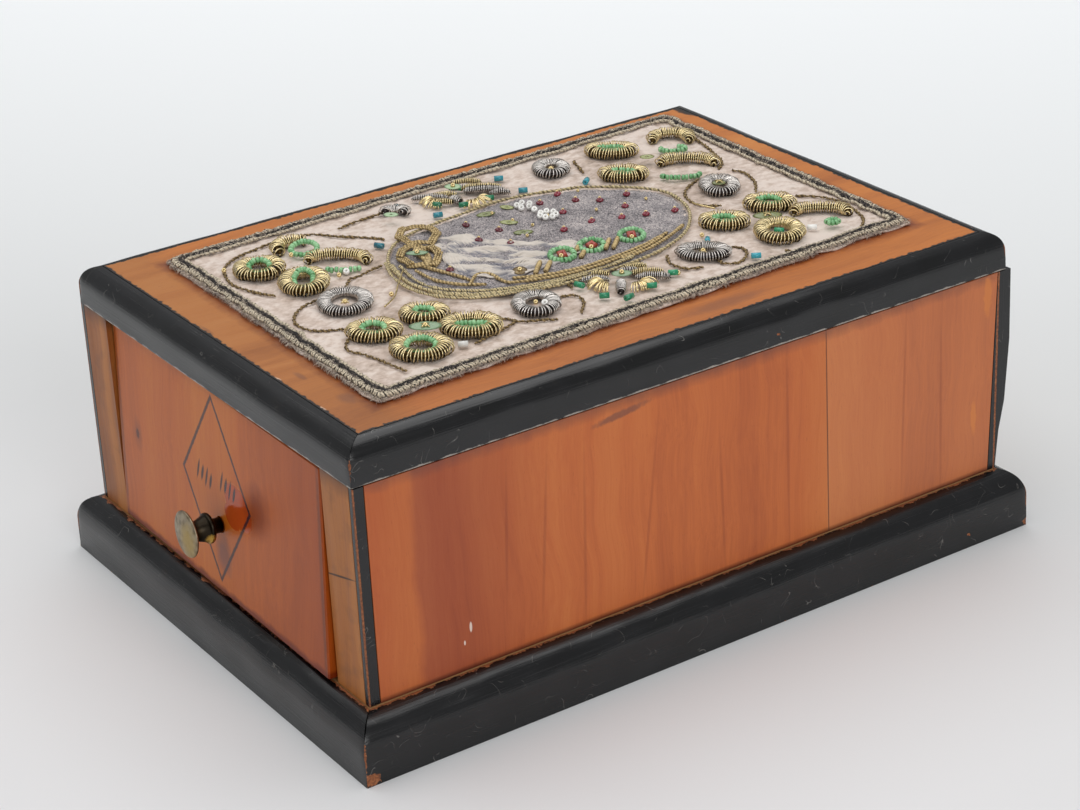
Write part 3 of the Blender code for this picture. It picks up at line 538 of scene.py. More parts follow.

# Stiles: narrow upright facings beside the drawer, browner and duller, and the right one
# is cracked.
stile_wood, tree, shader, colour, place = wood(
    "varnished_stile", "Z", ("7A4220", "A8652C", "BC7A3E"), 9, 0.42, 0.9,
    Specular_IOR_Level=0.35)
crack = patch(tree, place, (75.6, -122, 59.2), (9, 6, 0.35), (0, -0.25, 0), soft=0.5)
colour = tint(tree, colour, crack, "2E180E", 0.9)
grime = node(tree, "TexNoise", {"Vector": place, "Scale": 1 / (6 * MM), "Detail": 5.0})
grime = node(tree, "MapRange", {"Value": grime, "From Min": 0.52, "From Max": 0.7})
colour = tint(tree, colour, grime, "5A3A2A", 0.25)
way = node(tree, "SeparateXYZ", {"Vector": place}).node.outputs
# Darker towards the top, just under the top moulding: painted shade.
colour = tint(tree, colour, within(tree, way["Z"], 86.5, 91.5), "3A241C", 0.6)
fill(shader, {"Base Color": colour})
dress(stile_wood, "stile_left", "stile_right")

# Top board: the field that shows between the mouldings and the cloth. The black runs
# over its rim in a ragged line, and a black patch fills the far left corner. Beside the
# cloth the wood is painted darker and redder: painted shade along the cloth's raised edge,
# with a reddish stain.
CLOTH_HALF = np.array((68.0, 103.55))
CLOTH_CENTRE = np.array((-3.3, 3.65))
CLOTH_SKEW = np.array(((1.0, -0.030), (-0.0173, 1.0)))
FIELD_SIDE, FIELD_FRONT, FIELD_BACK, WOOD_TOP = 80.9, -115.5, 118.4, 104.8
top_wood, tree, shader, colour, place = wood(
    "varnished_top", "Y", ("9A521A", "C2732E", "D08740"), 24, 0.36, 0.8)
way = node(tree, "SeparateXYZ", {"Vector": place}).node.outputs
side_room = node(tree, "Math", {0: way["X"]}, operation="ABSOLUTE")
side_room = node(tree, "Math", {0: FIELD_SIDE * MM, 1: side_room}, operation="SUBTRACT")
front_room = node(tree, "Math", {0: way["Y"], 1: -FIELD_FRONT * MM}, operation="ADD")
back_room = node(tree, "Math", {0: FIELD_BACK * MM, 1: way["Y"]}, operation="SUBTRACT")
room = node(tree, "Math", {0: front_room, 1: back_room}, operation="MINIMUM")
room = node(tree, "Math", {0: side_room, 1: room}, operation="MINIMUM")
teeth = node(tree, "TexNoise", {"Vector": place, "Scale": 1 / (2.2 * MM), "Detail": 5.0})
ragged_room = node(tree, "Math", {0: teeth, 1: -3.0 * MM, 2: room}, operation="MULTIPLY_ADD")
beside = node(tree, "VectorMath", {0: place, 1: (*CLOTH_CENTRE * MM, 0)}, operation="SUBTRACT")
beside = node(tree, "SeparateXYZ", {"Vector": beside}).node.outputs
across = node(tree, "Math", {0: beside["Y"], 1: -CLOTH_SKEW[0, 1], 2: beside["X"]},
              operation="MULTIPLY_ADD")
along = node(tree, "Math", {0: beside["X"], 1: -CLOTH_SKEW[1, 0], 2: beside["Y"]},
             operation="MULTIPLY_ADD")
beside = node(tree, "CombineXYZ", {"X": across, "Y": along})
away = node(tree, "VectorMath", {0: beside}, operation="ABSOLUTE")
away = node(tree, "VectorMath", {0: away, 1: (*CLOTH_HALF * MM, 0)}, operation="SUBTRACT")
away = node(tree, "SeparateXYZ", {"Vector": away}).node.outputs
away = node(tree, "Math", {0: away["X"], 1: away["Y"]}, operation="MAXIMUM")
away = node(tree, "Math", {0: teeth, 1: 3.0 * MM, 2: away}, operation="MULTIPLY_ADD")
# Painted shade with a reddish stain: the wood is darkened and reddened within a few mm of the
# cloth's edge.
colour = tint(tree, colour, within(tree, away, 6.0, 2.0), "8A4A30", 0.75, "MULTIPLY")
# Each dirty spot: x and y of its middle and its half sizes.
DIRTY_SPOTS = ((58.5, -105.8, 3.6, 2.2), (36.1, -108.6, 3.0, 1.0), (-12.0, -114.0, 4.0, 0.6),
               (74.0, 20.0, 3.0, 14.0))
colour = stained(tree, place, colour, *(
    ("6E4230", 0.45, (x, y, WOOD_TOP), (half_x, half_y, 4), dict(soft=0.8, ragged=0.4, teeth=2))
    for x, y, half_x, half_y in DIRTY_SPOTS))
# Painted light: the near strip of the field is dulled and cooled, standing in for a sheen on the
# near part.
colour = tint(tree, colour, within(tree, way["Y"], -90, -103), "E0E9FF", 0.9, "MULTIPLY")
colour = stained(
    tree, place, colour,
    *(("D8B49A", 0.8, (x, -115, WOOD_TOP), (2.0, 0.7, 4), dict(soft=0.4, ragged=0.3, teeth=1))
      for x in (34, 60)),
    ("15100E", 0.95, (-78.5, 121, WOOD_TOP), (11, 5.5, 5), dict(soft=0.2, ragged=0.2)))
colour = tint(tree, colour, within(tree, ragged_room, -0.5, -0.9), "15100E")
fill(shader, {"Base Color": colour})
dress(top_wood, "top_board")

# Top moulding: four more mitred lengths of the same black moulding, glued round the top
# board, with dust and old glue along their foot.
top_low, top_high = node_box("top_board")
TOP_SIDE_WIDTH, TOP_END_WIDTH, TOP_FACE = 5.9, 7.0, 6.4
TOP_CHIPS = {
    "front": ((58.0, 6.0, 0.5, 0.5, 0.15),),
    "right": ((-29.4, 3.4, 1.1, 0.6, 0.2), (-122.0, 12.0, 0.8, 0.8, 0.2)),
}
moulding_frame("top_moulding", (top_low[0], top_low[1], top_high[0], top_high[1]),
               TOP_SIDE_WIDTH, TOP_END_WIDTH, TOP_FACE, height=top_high[2] - top_low[2],
               level=top_low[2], chips=TOP_CHIPS, dust=1.0, seed=31)

# Drawer front: one upright sheet of reddish fruitwood, thickly varnished, with a thin
# inked diamond on it and, in the middle, two short rows of pen strokes. A knot and a raw
# foot mark its age. By the knob the varnish is glossier and painted a deeper red, and below
# it a grey patch is painted: both are painted reflections of the knob.
front_wood, tree, shader, colour, place = wood(
    "varnished_drawer_front", "Z", ("98450E", "BE601A", "CE7826"), 34, 0.3, 0.7,
    Specular_IOR_Level=0.25)
way = node(tree, "SeparateXYZ", {"Vector": place}).node.outputs
colour = tint(tree, colour, within(tree, way["X"], 20, 66), "C8A4A4", 0.65, "MULTIPLY")
colour = stained(tree, place, colour, ("6E2004", 0.85, (0, -118, 19), (300, 30, 5.0),
                                       dict(ragged=0.35, teeth=6)))
DIAMOND_X, DIAMOND_Z, DIAMOND_HALF_X, DIAMOND_HALF_Z = 0.4, 57.5, 22.0, 31.3
centred = node(tree, "Mapping",
               {"Vector": place, "Location": (DIAMOND_X * MM, 0, DIAMOND_Z * MM),
                "Scale": (DIAMOND_HALF_X * MM, 1.0, DIAMOND_HALF_Z * MM)},
               vector_type="TEXTURE")
folded = node(tree, "VectorMath", {0: centred}, operation="ABSOLUTE")
folded = node(tree, "SeparateXYZ", {"Vector": folded}).node.outputs
reach = node(tree, "Math", {0: folded["X"], 1: folded["Z"]}, operation="ADD")
pen = node(tree, "TexNoise", {"Vector": place, "Scale": 1 / (1.6 * MM), "Detail": 3.0})
reach = node(tree, "Math", {0: pen, 1: 0.03, 2: reach}, operation="MULTIPLY_ADD")
reach = node(tree, "Math", {0: reach, 1: 1.015}, operation="SUBTRACT")
reach = node(tree, "Math", {0: reach}, operation="ABSOLUTE")
ink = node(tree, "MapRange", {"Value": reach, "From Min": 0.042, "From Max": 0.022})
# Painted reflection: beside the knob the wood is painted a deeper red, where the knob's dark
# reflection keeps off the pale sheen. The same patch is made glossier.
glossy_painted_reflection = patch(tree, place, (14.8, -122, 57.0), (8.8, 14, 6.4), (0, 0.55, 0), 0.10, 0.2, 5)
run = patch(tree, place, (10.6, -122, 52.4), (5.0, 14, 4.2), (0, 0.3, 0), 0.10, 0.2, 4)
glossy_painted_reflection = node(tree, "Math", {0: glossy_painted_reflection, 1: run}, operation="MAXIMUM")
colour = tint(tree, colour, glossy_painted_reflection, "B0421A", 0.8)
redness = patch(tree, place, (27.0, -122, 60.5), (6.5, 14, 8), (0, 0.4, 0), 0.9, 0.3, 4)
colour = tint(tree, colour, redness, "6E2A1C", 0.6)
colour = tint(tree, colour, ink, "26222B", 0.88)
# Each pen stroke: x and z of its middle, half length and half width. They stand in two
# short rows, all leaning one way.
PEN_STROKES = [(start_x + 2.7 * k, start_z - 0.5 * k, 3.6 - 0.7 * (k % 2), 0.55 + 0.15 * (k % 2))
               for start_x, start_z in ((-11.2, 60.4), (4.4, 61.8)) for k in range(4)]
PEN_EDGE = dict(turn=(0, 0.32, 0), soft=0.5, ragged=0.15, teeth=1)
RIM_EDGE = dict(soft=0.8, ragged=0.4)
# The grey patch below the knob in this list is a painted reflection of the knob's disc.
colour = stained(
    tree, place, colour,
    *(("241C22", 0.9, (x, -122, z), (half_wide, 14, half_long), PEN_EDGE)
      for x, z, half_long, half_wide in PEN_STROKES),
    ("2A120A", 0.9, (-54.8, -122, 55.9), (1.1, 14, 1.7), dict(soft=0.5, ragged=0.2, teeth=1)),
    ("7A3A22", 0.45, (-54.8, -122, 55.9), (2.6, 14, 4.6), dict(soft=1.1, ragged=0.3)),
    ("54424E", 0.55, (3.0, -122, 36.0), (4.2, 14, 6.0), dict(soft=0.9, ragged=0.4, teeth=3)),
    *(("5A2A18", 0.55, (x, -122, 55), (1.0, 14, 42), RIM_EDGE) for x in (-66.6, 66.6)))
gloss = node(tree, "MapRange", {"Value": glossy_painted_reflection, "To Min": 0.3, "To Max": 0.1})
fill(shader, {"Base Color": colour, "Roughness": gloss})
dress(front_wood, "drawer_front")

# Knob: turned brass, gone grey and brown, bright only where fingers rub its rim, and
# nearly black in the neck.
brass, tree, shader, place = new_material("aged_brass", Metallic=1.0)
way = node(tree, "SeparateXYZ", {"Vector": place}).node.outputs
spots = node(tree, "TexNoise", {"Vector": place, "Scale": 1 / (2.5 * MM), "Detail": 5.0})
tone = node(tree, "ValToRGB", {"Fac": spots},
            stops=[(0.3, "6E6250"), (0.5, "928671"), (0.7, "A89C86")])
colour = stained(tree, place, tone, ("A98F4E", 0.75, (4.0, -135, 45.0), (3.8, 4, 5.5),
                                     dict(soft=0.9, ragged=0.5, teeth=2)))
neck = within(tree, way["Y"], -134.2, -133.6)
colour = tint(tree, colour, neck, "1C1712", 0.95)
colour = stained(tree, place, colour, ("C29A48", 0.9, (6.2, -128.6, 43.2), (2.6, 1.8, 2.6),
                                       dict(soft=0.5, ragged=0.5, teeth=1)))
rough = node(tree, "MapRange", {"Value": neck, "To Min": 0.42, "To Max": 0.34})
fill(shader, {"Base Color": colour, "Roughness": rough})
FRONT_CENTRE = Vector((0.0, -117.6, 56.05))
FRONT_TURN = (Matrix.Rotation(math.radians(-0.7), 3, "Z")
              @ Matrix.Rotation(math.radians(-2.3), 3, "X"))
KNOB_SEAT = FRONT_CENTRE + FRONT_TURN @ Vector((2.07, -5.0, -10.14))
KNOB_REACH, DISC_RADIUS, DISC_THICK = 12.8, 7.6, 1.6
NECK_RADIUS, COLLAR_RADIUS, COLLAR_STAND, COLLAR_THICK, SHANK_RADIUS = 3.0, 5.0, 3.8, 1.6, 2.5

def turned(profile, seat, turn, sides=72):
    """A turned piece: a profile of (radius, reach) points carried round an axis that
    stands out from its seat, closed with a fan at both ends."""
    angle = np.linspace(0, 2 * np.pi, sides, endpoint=False)
    radius, reach = np.asarray(profile, dtype=float).T
    points = np.stack((radius[:, None] * np.cos(angle), -np.broadcast_to(
        reach[:, None], (len(radius), sides)), radius[:, None] * np.sin(angle)), axis=-1)
    poles = np.array(((0, -reach[0], 0), (0, -reach[-1], 0)))
    points = np.concatenate((points.reshape(-1, 3), poles)) @ np.array(turn).T + np.array(seat)
    ring = np.arange(sides)
    count = len(radius) * sides
    caps = np.concatenate((fan(ring, count, turn=True),
                           fan(ring + count - sides, count + 1)))
    return outward_shell((points, grid_faces(len(radius), sides, columns_wrap=True), caps,
                          np.zeros(count + 2)))


dome = np.linspace(0.06, 0.94, 10)
edge_turn = np.linspace(0.15, 0.95, 9) * np.pi
flare = np.linspace(0, 1, 16)
disc_back, collar_top = KNOB_REACH - DISC_THICK, COLLAR_STAND + COLLAR_THICK
profile = [(DISC_RADIUS * 0.95 * s, KNOB_REACH - 0.5 * s ** 2) for s in dome]
profile += [(DISC_RADIUS - 0.5 + 0.5 * math.sin(a), disc_back + 0.55 + 0.5 * math.cos(a))
            for a in edge_turn]
profile += [(NECK_RADIUS + (COLLAR_RADIUS - 0.5 - NECK_RADIUS) * s ** 2 + (1 - s) ** 5,
             disc_back + (collar_top - disc_back) * s) for s in flare]
profile += [(COLLAR_RADIUS - 0.5 + 0.5 * math.sin(a),
             COLLAR_STAND + COLLAR_THICK * (0.5 + 0.5 * math.cos(a))) for a in edge_turn]
profile += [(SHANK_RADIUS + 0.5, COLLAR_STAND - 0.25), (SHANK_RADIUS, COLLAR_STAND - 0.7),
            (SHANK_RADIUS, 0.3)]
finish_piece("turned_knob", turned(profile, KNOB_SEAT, FRONT_TURN), brass,
             ["drawer_knob"], "drawer")

# Cloth: an old silk panel backed with soft felt, cut a little out of square and laid on
# the top board. It puckers between the stitched motifs, and its edge is uneven.
CLOTH_LEVEL = 105.75
UNIT = CLOTH_HALF[0]


def at_level(flat, level):
    """Flat places, all laid at one level."""
    return np.column_stack((flat, np.full(len(flat), level)))


def on_cloth(shares):
    """The box's x and y of places given in shares of the cloth's half sides."""
    return CLOTH_CENTRE + (np.asarray(shares) * CLOTH_HALF) @ CLOTH_SKEW.T


def cloth_height(flat):
    """The cloth's level over its box x and y: flat, with soft puckers 14 mm and 4 mm
    apart."""
    return (CLOTH_LEVEL + 0.18 * ripple(flat, 16.0, 51)
            + 0.10 * ripple(flat, 5.0, 52))


columns, rows = 138, 208
shares = np.stack(np.meshgrid(np.linspace(-1, 1, columns), np.linspace(-1, 1, rows)), axis=-1)
flat = on_cloth(shares)
edge = np.max(np.abs(shares), axis=-1)
edge_pull = np.clip((edge - 0.97) / 0.03, 0, 1)[..., None]
sway = np.stack((ripple(flat, 18.0, 53), ripple(flat, 21.0, 54)), axis=-1)
flat = flat + 0.45 * sway * edge_pull
height = cloth_height(flat) - 0.25 * edge_pull[..., 0]
points = np.concatenate((flat, height[..., None]), axis=-1).reshape(-1, 3)
felt, tree, shader, place = new_material("aged_silk_on_felt", Roughness=0.88,
                                         Sheen_Weight=0.25, Sheen_Roughness=0.6)
# Stains 30 mm across, matted tufts about 3 mm across, drawn out lengthwise, and fibre
# 0.5 mm across.
stain = node(tree, "TexNoise", {"Vector": place, "Scale": 1 / (30 * MM), "Detail": 4.0})
drawn = node(tree, "Mapping", {"Vector": place, "Rotation": (0, 0, 0.35),
                               "Scale": (1 / (2.6 * MM), 1 / (3.8 * MM), 1 / (2 * MM))})
mat = node(tree, "TexNoise", {"Vector": drawn, "Scale": 1.0, "Detail": 5.0, "Roughness": 0.65})
fibre = node(tree, "TexNoise", {"Vector": place, "Scale": 1 / (0.5 * MM), "Detail": 2.0})
mixed = node(tree, "Math", {0: stain, 1: 0.8, 2: mat}, operation="MULTIPLY_ADD")
tone = node(tree, "ValToRGB", {"Fac": mixed},
            stops=[(0.55, "7F6C5C"), (0.72, "B39D8C"), (0.88, "CCB8AA"), (1.0, "DCCCC0")])
raised = node(tree, "Math", {0: fibre, 1: 0.4, 2: mat}, operation="MULTIPLY_ADD")
bump = node(tree, "Bump", {"Height": raised, "Distance": 0.22 * MM, "Strength": 0.45})
fill(shader, {"Base Color": tone, "Normal": bump})
cloth = finish_piece("cloth", (points, grid_faces(rows, columns), NO_TRIANGLES, 0.0), felt,
                     ["cloth_panel"])
thicken = cloth.modifiers.new("felt", "SOLIDIFY")
thicken.thickness = 0.5 * MM
thicken.offset = -1.0


# Border: three couched lines of cord along the raw edge: a cream cord flecked with dark
# thread, a dark chenille beside it, and a thin cream twist inside. All are matted and
# uneven with age, and the felt's edge frays out under them.
def looped(points, closed):
    """The points of a line, with the first one again at the end if it is closed."""
    return np.concatenate((points, points[:1])) if closed else points


def measured(points, closed=False):
    """The length run so far at each point of a line, and at its close."""
    steps = np.linalg.norm(np.diff(looped(points, closed), axis=0), axis=-1)
    return np.concatenate(([0], np.cumsum(steps)))


def even(points, count, closed=False):
    """A line read at a count of even places: each coordinate is interpolated over the
    length run so far."""
    length = measured(points, closed)
    spots = np.linspace(0, length[-1], count, endpoint=not closed)
    return np.stack([np.interp(spots, length, each) for each in looped(points, closed).T],
                    axis=-1)


def smooth_line(points, step, closed=False):
    """A smooth line through points, as a Catmull-Rom spline: each span is a cubic whose
    end slopes are half the chord of its neighbours. It is read at an even step."""
    held = np.asarray(points, dtype=float)
    if closed:
        before, after, beyond = (np.roll(held, k, axis=0) for k in (1, -1, -2))
        start, end = held, after
    else:
        padded = np.concatenate((2 * held[:1] - held[1:2], held, 2 * held[-1:] - held[-2:-1]))
        before, start, end, beyond = padded[:-3], padded[1:-2], padded[2:-1], padded[3:]
    t = np.linspace(0, 1, 24, endpoint=False)[None, :, None]
    before, start, end, beyond = (p[:, None] for p in (before, start, end, beyond))
    dense = 0.5 * (2 * start + (end - before) * t
                   + (2 * before - 5 * start + 4 * end - beyond) * t ** 2
                   + (3 * start - before - 3 * end + beyond) * t ** 3)
    dense = dense.reshape(-1, held.shape[1])
    if not closed:
        dense = np.concatenate((dense, held[-1:]))
    count = max(int(round(measured(dense, closed)[-1] / step)), 3)
    return even(dense, count if closed else count + 1, closed)


def slopes(path, closed):
    """Unit tangents along a path, or a stack of paths."""
    if closed:
        run = np.roll(path, -1, axis=-2) - np.roll(path, 1, axis=-2)
    else:
        run = np.gradient(path, axis=-2)
    return unit(run)


def sweep(path, radius, sides, closed=False, normal=(0, 0, 1.0), flat=1.0, mark=0.0):
    """A wire along a path, or along each of a stack of paths. Its section is an ellipse
    across the path: the radius to the side, and flat times that along the normal. Open
    ends are closed with a fan."""
    path = np.asarray(path, dtype=float)
    if path.ndim == 2:
        path = path[None]
    tangent = slopes(path, closed)
    side = unit(np.cross(np.broadcast_to(normal, path.shape), tangent))
    over = np.cross(tangent, side)
    turn = np.linspace(0, 2 * np.pi, sides, endpoint=False)
    size = np.broadcast_to(radius, path.shape[:2])[..., None, None]
    ring = path[:, :, None] + size * (np.cos(turn)[:, None] * side[:, :, None]
                                      + flat * np.sin(turn)[:, None] * over[:, :, None])
    count, length = path.shape[:2]
    each = grid_faces(length, sides, rows_wrap=closed, columns_wrap=True)
    quads = (each[None] + np.arange(count)[:, None, None] * length * sides).reshape(-1, 4)
    marks = np.broadcast_to(mark, (count, length))[..., None]
    marks = np.broadcast_to(marks, (count, length, sides)).reshape(-1)
    points = ring.reshape(-1, 3)
    if closed:
        return points, quads, NO_TRIANGLES, marks
    tips = path[:, [0, -1]].reshape(-1, 3)
    tip_marks = np.repeat(marks.reshape(count, -1)[:, 0], 2)
    first = np.arange(sides)
    last = first + (length - 1) * sides
    base = np.arange(count)
    caps = [fan(first + k * length * sides, len(points) + 2 * k, turn=True) for k in base]
    caps += [fan(last + k * length * sides, len(points) + 2 * k + 1) for k in base]
    return (np.concatenate((points, tips)), quads[:, ::-1],
            np.concatenate(caps)[:, ::-1], np.concatenate((marks, tip_marks)))


def twist(path, reach, ply_radius, pitch, shades, closed=False, sides=6, seed=0,
          uneven=0.12, flat=1.0):
    """A cord of twisted plies, one for each shade, which is its mark. Each winds round
    the path at a reach, a turn in each pitch, pressed flat, and swells unevenly."""
    tangent = slopes(path, closed)
    side = unit(np.cross((0, 0, 1.0), tangent))
    over = np.cross(tangent, side)
    length = measured(path, closed)
    run, total = length[:len(path)], length[-1]
    turns = max(round(total / pitch), 1)
    waver = 1 + uneven * ripple(path, 3.0, seed)
    slip = 2 * uneven * ripple(path, 7.0, seed + 1)
    shells = []
    for ply, shade in enumerate(shades):
        phase = 2 * np.pi * (turns * run / total + ply / len(shades)) + slip
        out = np.cos(phase)[:, None] * side + flat * np.sin(phase)[:, None] * over
        line = path + out * (reach * waver)[:, None]
        shells.append(sweep(line, ply_radius * waver, sides, closed, out, mark=shade))
    return join(shells)


def border_line(inset, level, step):
    """A rectangle with rounded corners at an inset from the cloth's edge, raised to a
    level over the cloth."""
    half = CLOTH_HALF - inset
    corner = 2.0
    quarter = np.linspace(0, np.pi / 2, 4)
    lines = []
    for number, sign in enumerate(((1, 1), (-1, 1), (-1, -1), (1, -1))):
        turn = quarter + number * np.pi / 2
        bend = np.stack((np.cos(turn), np.sin(turn)), axis=-1) * corner
        lines.append((half - corner) * sign + bend)
    corners = np.concatenate(lines)
    following = np.roll(corners, -1, axis=0)
    share = np.linspace(0, 1, 40, endpoint=False)[:, None, None]
    dense = (corners + (following - corners) * share).transpose(1, 0, 2).reshape(-1, 2)
    dense = even(dense, int(measured(dense, True)[-1] / step), True)
    flat = on_cloth(dense / CLOTH_HALF)
    flat = flat + 0.35 * np.stack((ripple(flat, 14.0, 61), ripple(flat, 11.0, 62)), axis=-1)
    flat = flat + 0.16 * np.stack((ripple(flat, 3.5, 60), ripple(flat, 3.0, 59)), axis=-1)
    return at_level(flat, level)


def thread_material(name, dark, light, roughness, metallic=0.0, spot=0.8):
    """Thread or wire whose colour runs from dark to light with the mark and with a
    mottling whose spots have a size in mm."""
    material, tree, shader, place = new_material(name, Roughness=roughness, Metallic=metallic)
    mottle = node(tree, "TexNoise", {"Vector": place, "Scale": 1 / (spot * MM), "Detail": 3.0})
    mark = node(tree, "Attribute", attribute_name="mark").node.outputs["Fac"]
    spread = node(tree, "MapRange", {"Value": mottle, "From Min": 0.3, "From Max": 0.7,
                                     "To Min": -0.3, "To Max": 0.3})
    value = node(tree, "Math", {0: mark, 1: spread}, operation="ADD")
    fill(shader, {"Base Color": node(tree, "ValToRGB", {"Fac": value},
                                     stops=[(0.15, dark), (0.85, light)])})
    return material


border_thread = thread_material("cream_and_dark_thread", "40382F", "D8CAB2", 0.9, spot=0.4)
dark_thread = thread_material("dark_chenille", "1F1C1D", "766B60", 0.95, spot=0.5)
outer_line = border_line(1.3, 106.5, 0.45)
finish_piece("border_twist", twist(outer_line, 0.66, 0.42, 2.0, (0.95, 0.5, 0.9, 0.1),
                                   closed=True, seed=63, uneven=0.26, flat=0.55),
             border_thread, ["border_cord_outer"])
dark_line = border_line(3.15, 106.5, 0.5)
finish_piece("border_chenille", twist(dark_line, 0.52, 0.56, 1.9, (0.15, 0.3, 0.15),
                                      closed=True, seed=64, uneven=0.22, flat=0.6),
             dark_thread)
inner_line = border_line(4.7, 106.6, 0.4)
finish_piece("border_inner_twist", twist(inner_line, 0.36, 0.34, 1.7, (0.9, 0.75, 0.45),
                                         closed=True, seed=65, uneven=0.26, flat=0.7),
             border_thread, ["border_cord_inner"])


def fray(line, count, length, seed):
    """Loose fibres that start on a line and curl away from it, mostly outwards and low."""
    rng = np.random.default_rng(seed)
    start = line[rng.integers(0, len(line), count)]
    away = unit(start[:, :2] - CLOTH_CENTRE)
    heading = np.arctan2(away[:, 1], away[:, 0]) + rng.normal(0, 0.9, count)
    reach = length * rng.uniform(0.4, 1.2, count)
    t = np.linspace(0, 1, 5)[None, :]
    bend = rng.normal(0, 0.5, count)[:, None]
    x = start[:, :1] + reach[:, None] * t * np.cos(heading[:, None] + bend * t)
    y = start[:, 1:2] + reach[:, None] * t * np.sin(heading[:, None] + bend * t)
    lift = rng.uniform(-0.2, 0.9, count)[:, None]
    z = start[:, 2:] + lift * np.sin(np.pi * t) - 0.5 * t ** 2
    paths = np.stack((x, y, z), axis=-1)
    shade = rng.uniform(0.2, 1.0, count)[:, None]
    taper = 0.11 * (1 - 0.6 * t)
    return sweep(paths, np.broadcast_to(taper, (count, 5)), 3, mark=shade)


fibre_thread = thread_material("frayed_fibre", "5F5355", "D2C4B2", 0.95)
# Each line of fibres: its inset and level, how many start there, their length, the seed.
FRAYS = ((0.2, 105.9, 4200, 1.7, 66), (2.2, 106.9, 2400, 1.2, 67), (4.0, 106.8, 1700, 1.2, 68),
         (5.4, 106.3, 900, 1.3, 69))
finish_piece("frayed_edge", join([fray(border_line(inset, level, 0.5), count, length, seed)
                                  for inset, level, count, length, seed in FRAYS]),
             fibre_thread)


# Gold petals: lengths of gilt purl, a fine wire wound into a springy coil, bent into
# rings and arches and stitched down, four to each corner flower. The turns spread and
# tangle a little with age, and the gilding has spots of tarnish. Low in each coil and round
# its dark core the wire is painted dark, as painted shade, and on top it is painted bright,
# as a painted highlight.
def oval(petal):
    """Centre, half sides, turn and angles of a petal, in mm and radians. One without
    angles is a whole ring."""
    across, along, long_half, short_half, turn, *arc = petal
    first, last = arc or (0, 360)
    return (on_cloth((across, along)), long_half * UNIT, short_half * UNIT,
            math.radians(turn), math.radians(first), math.radians(last))


def oval_line(petal, grow, step, level):
    """An even line along a petal's ellipse, grown outwards, at a level."""
    centre, a, b, turn, first, last = oval(petal)
    closed = last - first > 2 * math.pi - 0.01
    angle = np.linspace(first, last, 240)
    line = np.stack(((a + grow) * np.cos(angle), (b + grow) * np.sin(angle)), axis=-1)
    count = max(int(measured(line)[-1] / step), 4)
    x, y = even(line, count, closed).T
    flat = np.stack((centre[0] + x * math.cos(turn) - y * math.sin(turn),
                     centre[1] + x * math.sin(turn) + y * math.cos(turn)), axis=-1)
    return at_level(flat, level), closed


def purl(path, closed, half_width, half_height, pitch, wire, seed, play):
    """A wire coiled round a path. The coil's section is an ellipse, half_width to each
    side and half_height up. Each turn's size and lean differ a little: the sizes are
    random numbers, one a turn, read smoothly between turns, and play says how wild.
    At open ends the coil draws in."""
    rng = np.random.default_rng(seed)
    turns = max(int(round(measured(path, closed)[-1] / pitch)), 3)
    count = turns * 12
    spot = np.linspace(0, 1, count, endpoint=not closed)
    centre = even(path, count, closed)
    tangent = slopes(centre, closed)
    side = unit(np.cross(tangent, (0, 0, 1.0)))
    phase = 2 * np.pi * turns * spot
    turn_sizes = rng.normal(1.0, play, turns + 1)
    lean = rng.normal(0.0, 3.2 * play, turns + 1)
    if closed:
        turn_sizes[-1], lean[-1] = turn_sizes[0], lean[0]
    size = np.interp(spot * turns, np.arange(turns + 1), turn_sizes)
    slip = np.interp(spot * turns, np.arange(turns + 1), lean) * pitch
    out = (np.cos(phase)[:, None] * side * half_width
           + np.sin(phase)[:, None] * np.array((0, 0, half_height)))
    if not closed:
        out = out * np.sqrt(1.02 - np.linspace(-1, 1, count) ** 8)[:, None]
    line = centre + out * size[:, None] + tangent * (slip * np.sin(phase))[:, None]
    # The mark rises with height in the coil, so each turn is painted bright on top and dark
    # underneath: painted highlight and shade.
    return sweep(line, wire, 5, closed, out, mark=0.42 + 0.42 * np.sin(phase))


def shade_core(path, closed, radius):
    """The core inside a coil: a round cord, which tapers at open ends. Its low mark paints it
    dark, a dark piece that stands for the shade inside the coil.
    """
    share = np.linspace(-1, 1, len(path))
    taper = np.ones(len(path)) if closed else np.sqrt(1.001 - share ** 8)
    return sweep(path, radius * taper, 8, closed, flat=0.9, mark=-0.3)


def metal_thread(name, dark, light, roughness):
    """Wound metal wire, with spots of tarnish 3 mm across. The mark is the height in the
    coil: high parts are painted bright, a painted highlight, and low parts dark, painted shade."""
    material, tree, shader, place = new_material(name, Metallic=1.0)
    tarnish = node(tree, "TexNoise", {"Vector": place, "Scale": 1 / (3 * MM), "Detail": 3.0})
    grains = node(tree, "TexNoise", {"Vector": place, "Scale": 1 / (0.4 * MM), "Detail": 1.0})
    mark = node(tree, "Attribute", attribute_name="mark").node.outputs["Fac"]
    value = node(tree, "Math", {0: tarnish, 1: 0.8, 2: mark}, operation="MULTIPLY_ADD")
    value = node(tree, "Math", {0: grains, 1: 0.4, 2: value}, operation="MULTIPLY_ADD")
    tone = node(tree, "ValToRGB", {"Fac": value}, stops=[(0.65, dark), (1.0, light)])
    rough = node(tree, "MapRange", {"Value": tarnish, "From Min": 0.35, "From Max": 0.65,
                                    "To Min": roughness, "To Max": roughness + 0.2})
    fill(shader, {"Base Color": tone, "Roughness": rough})
    return material


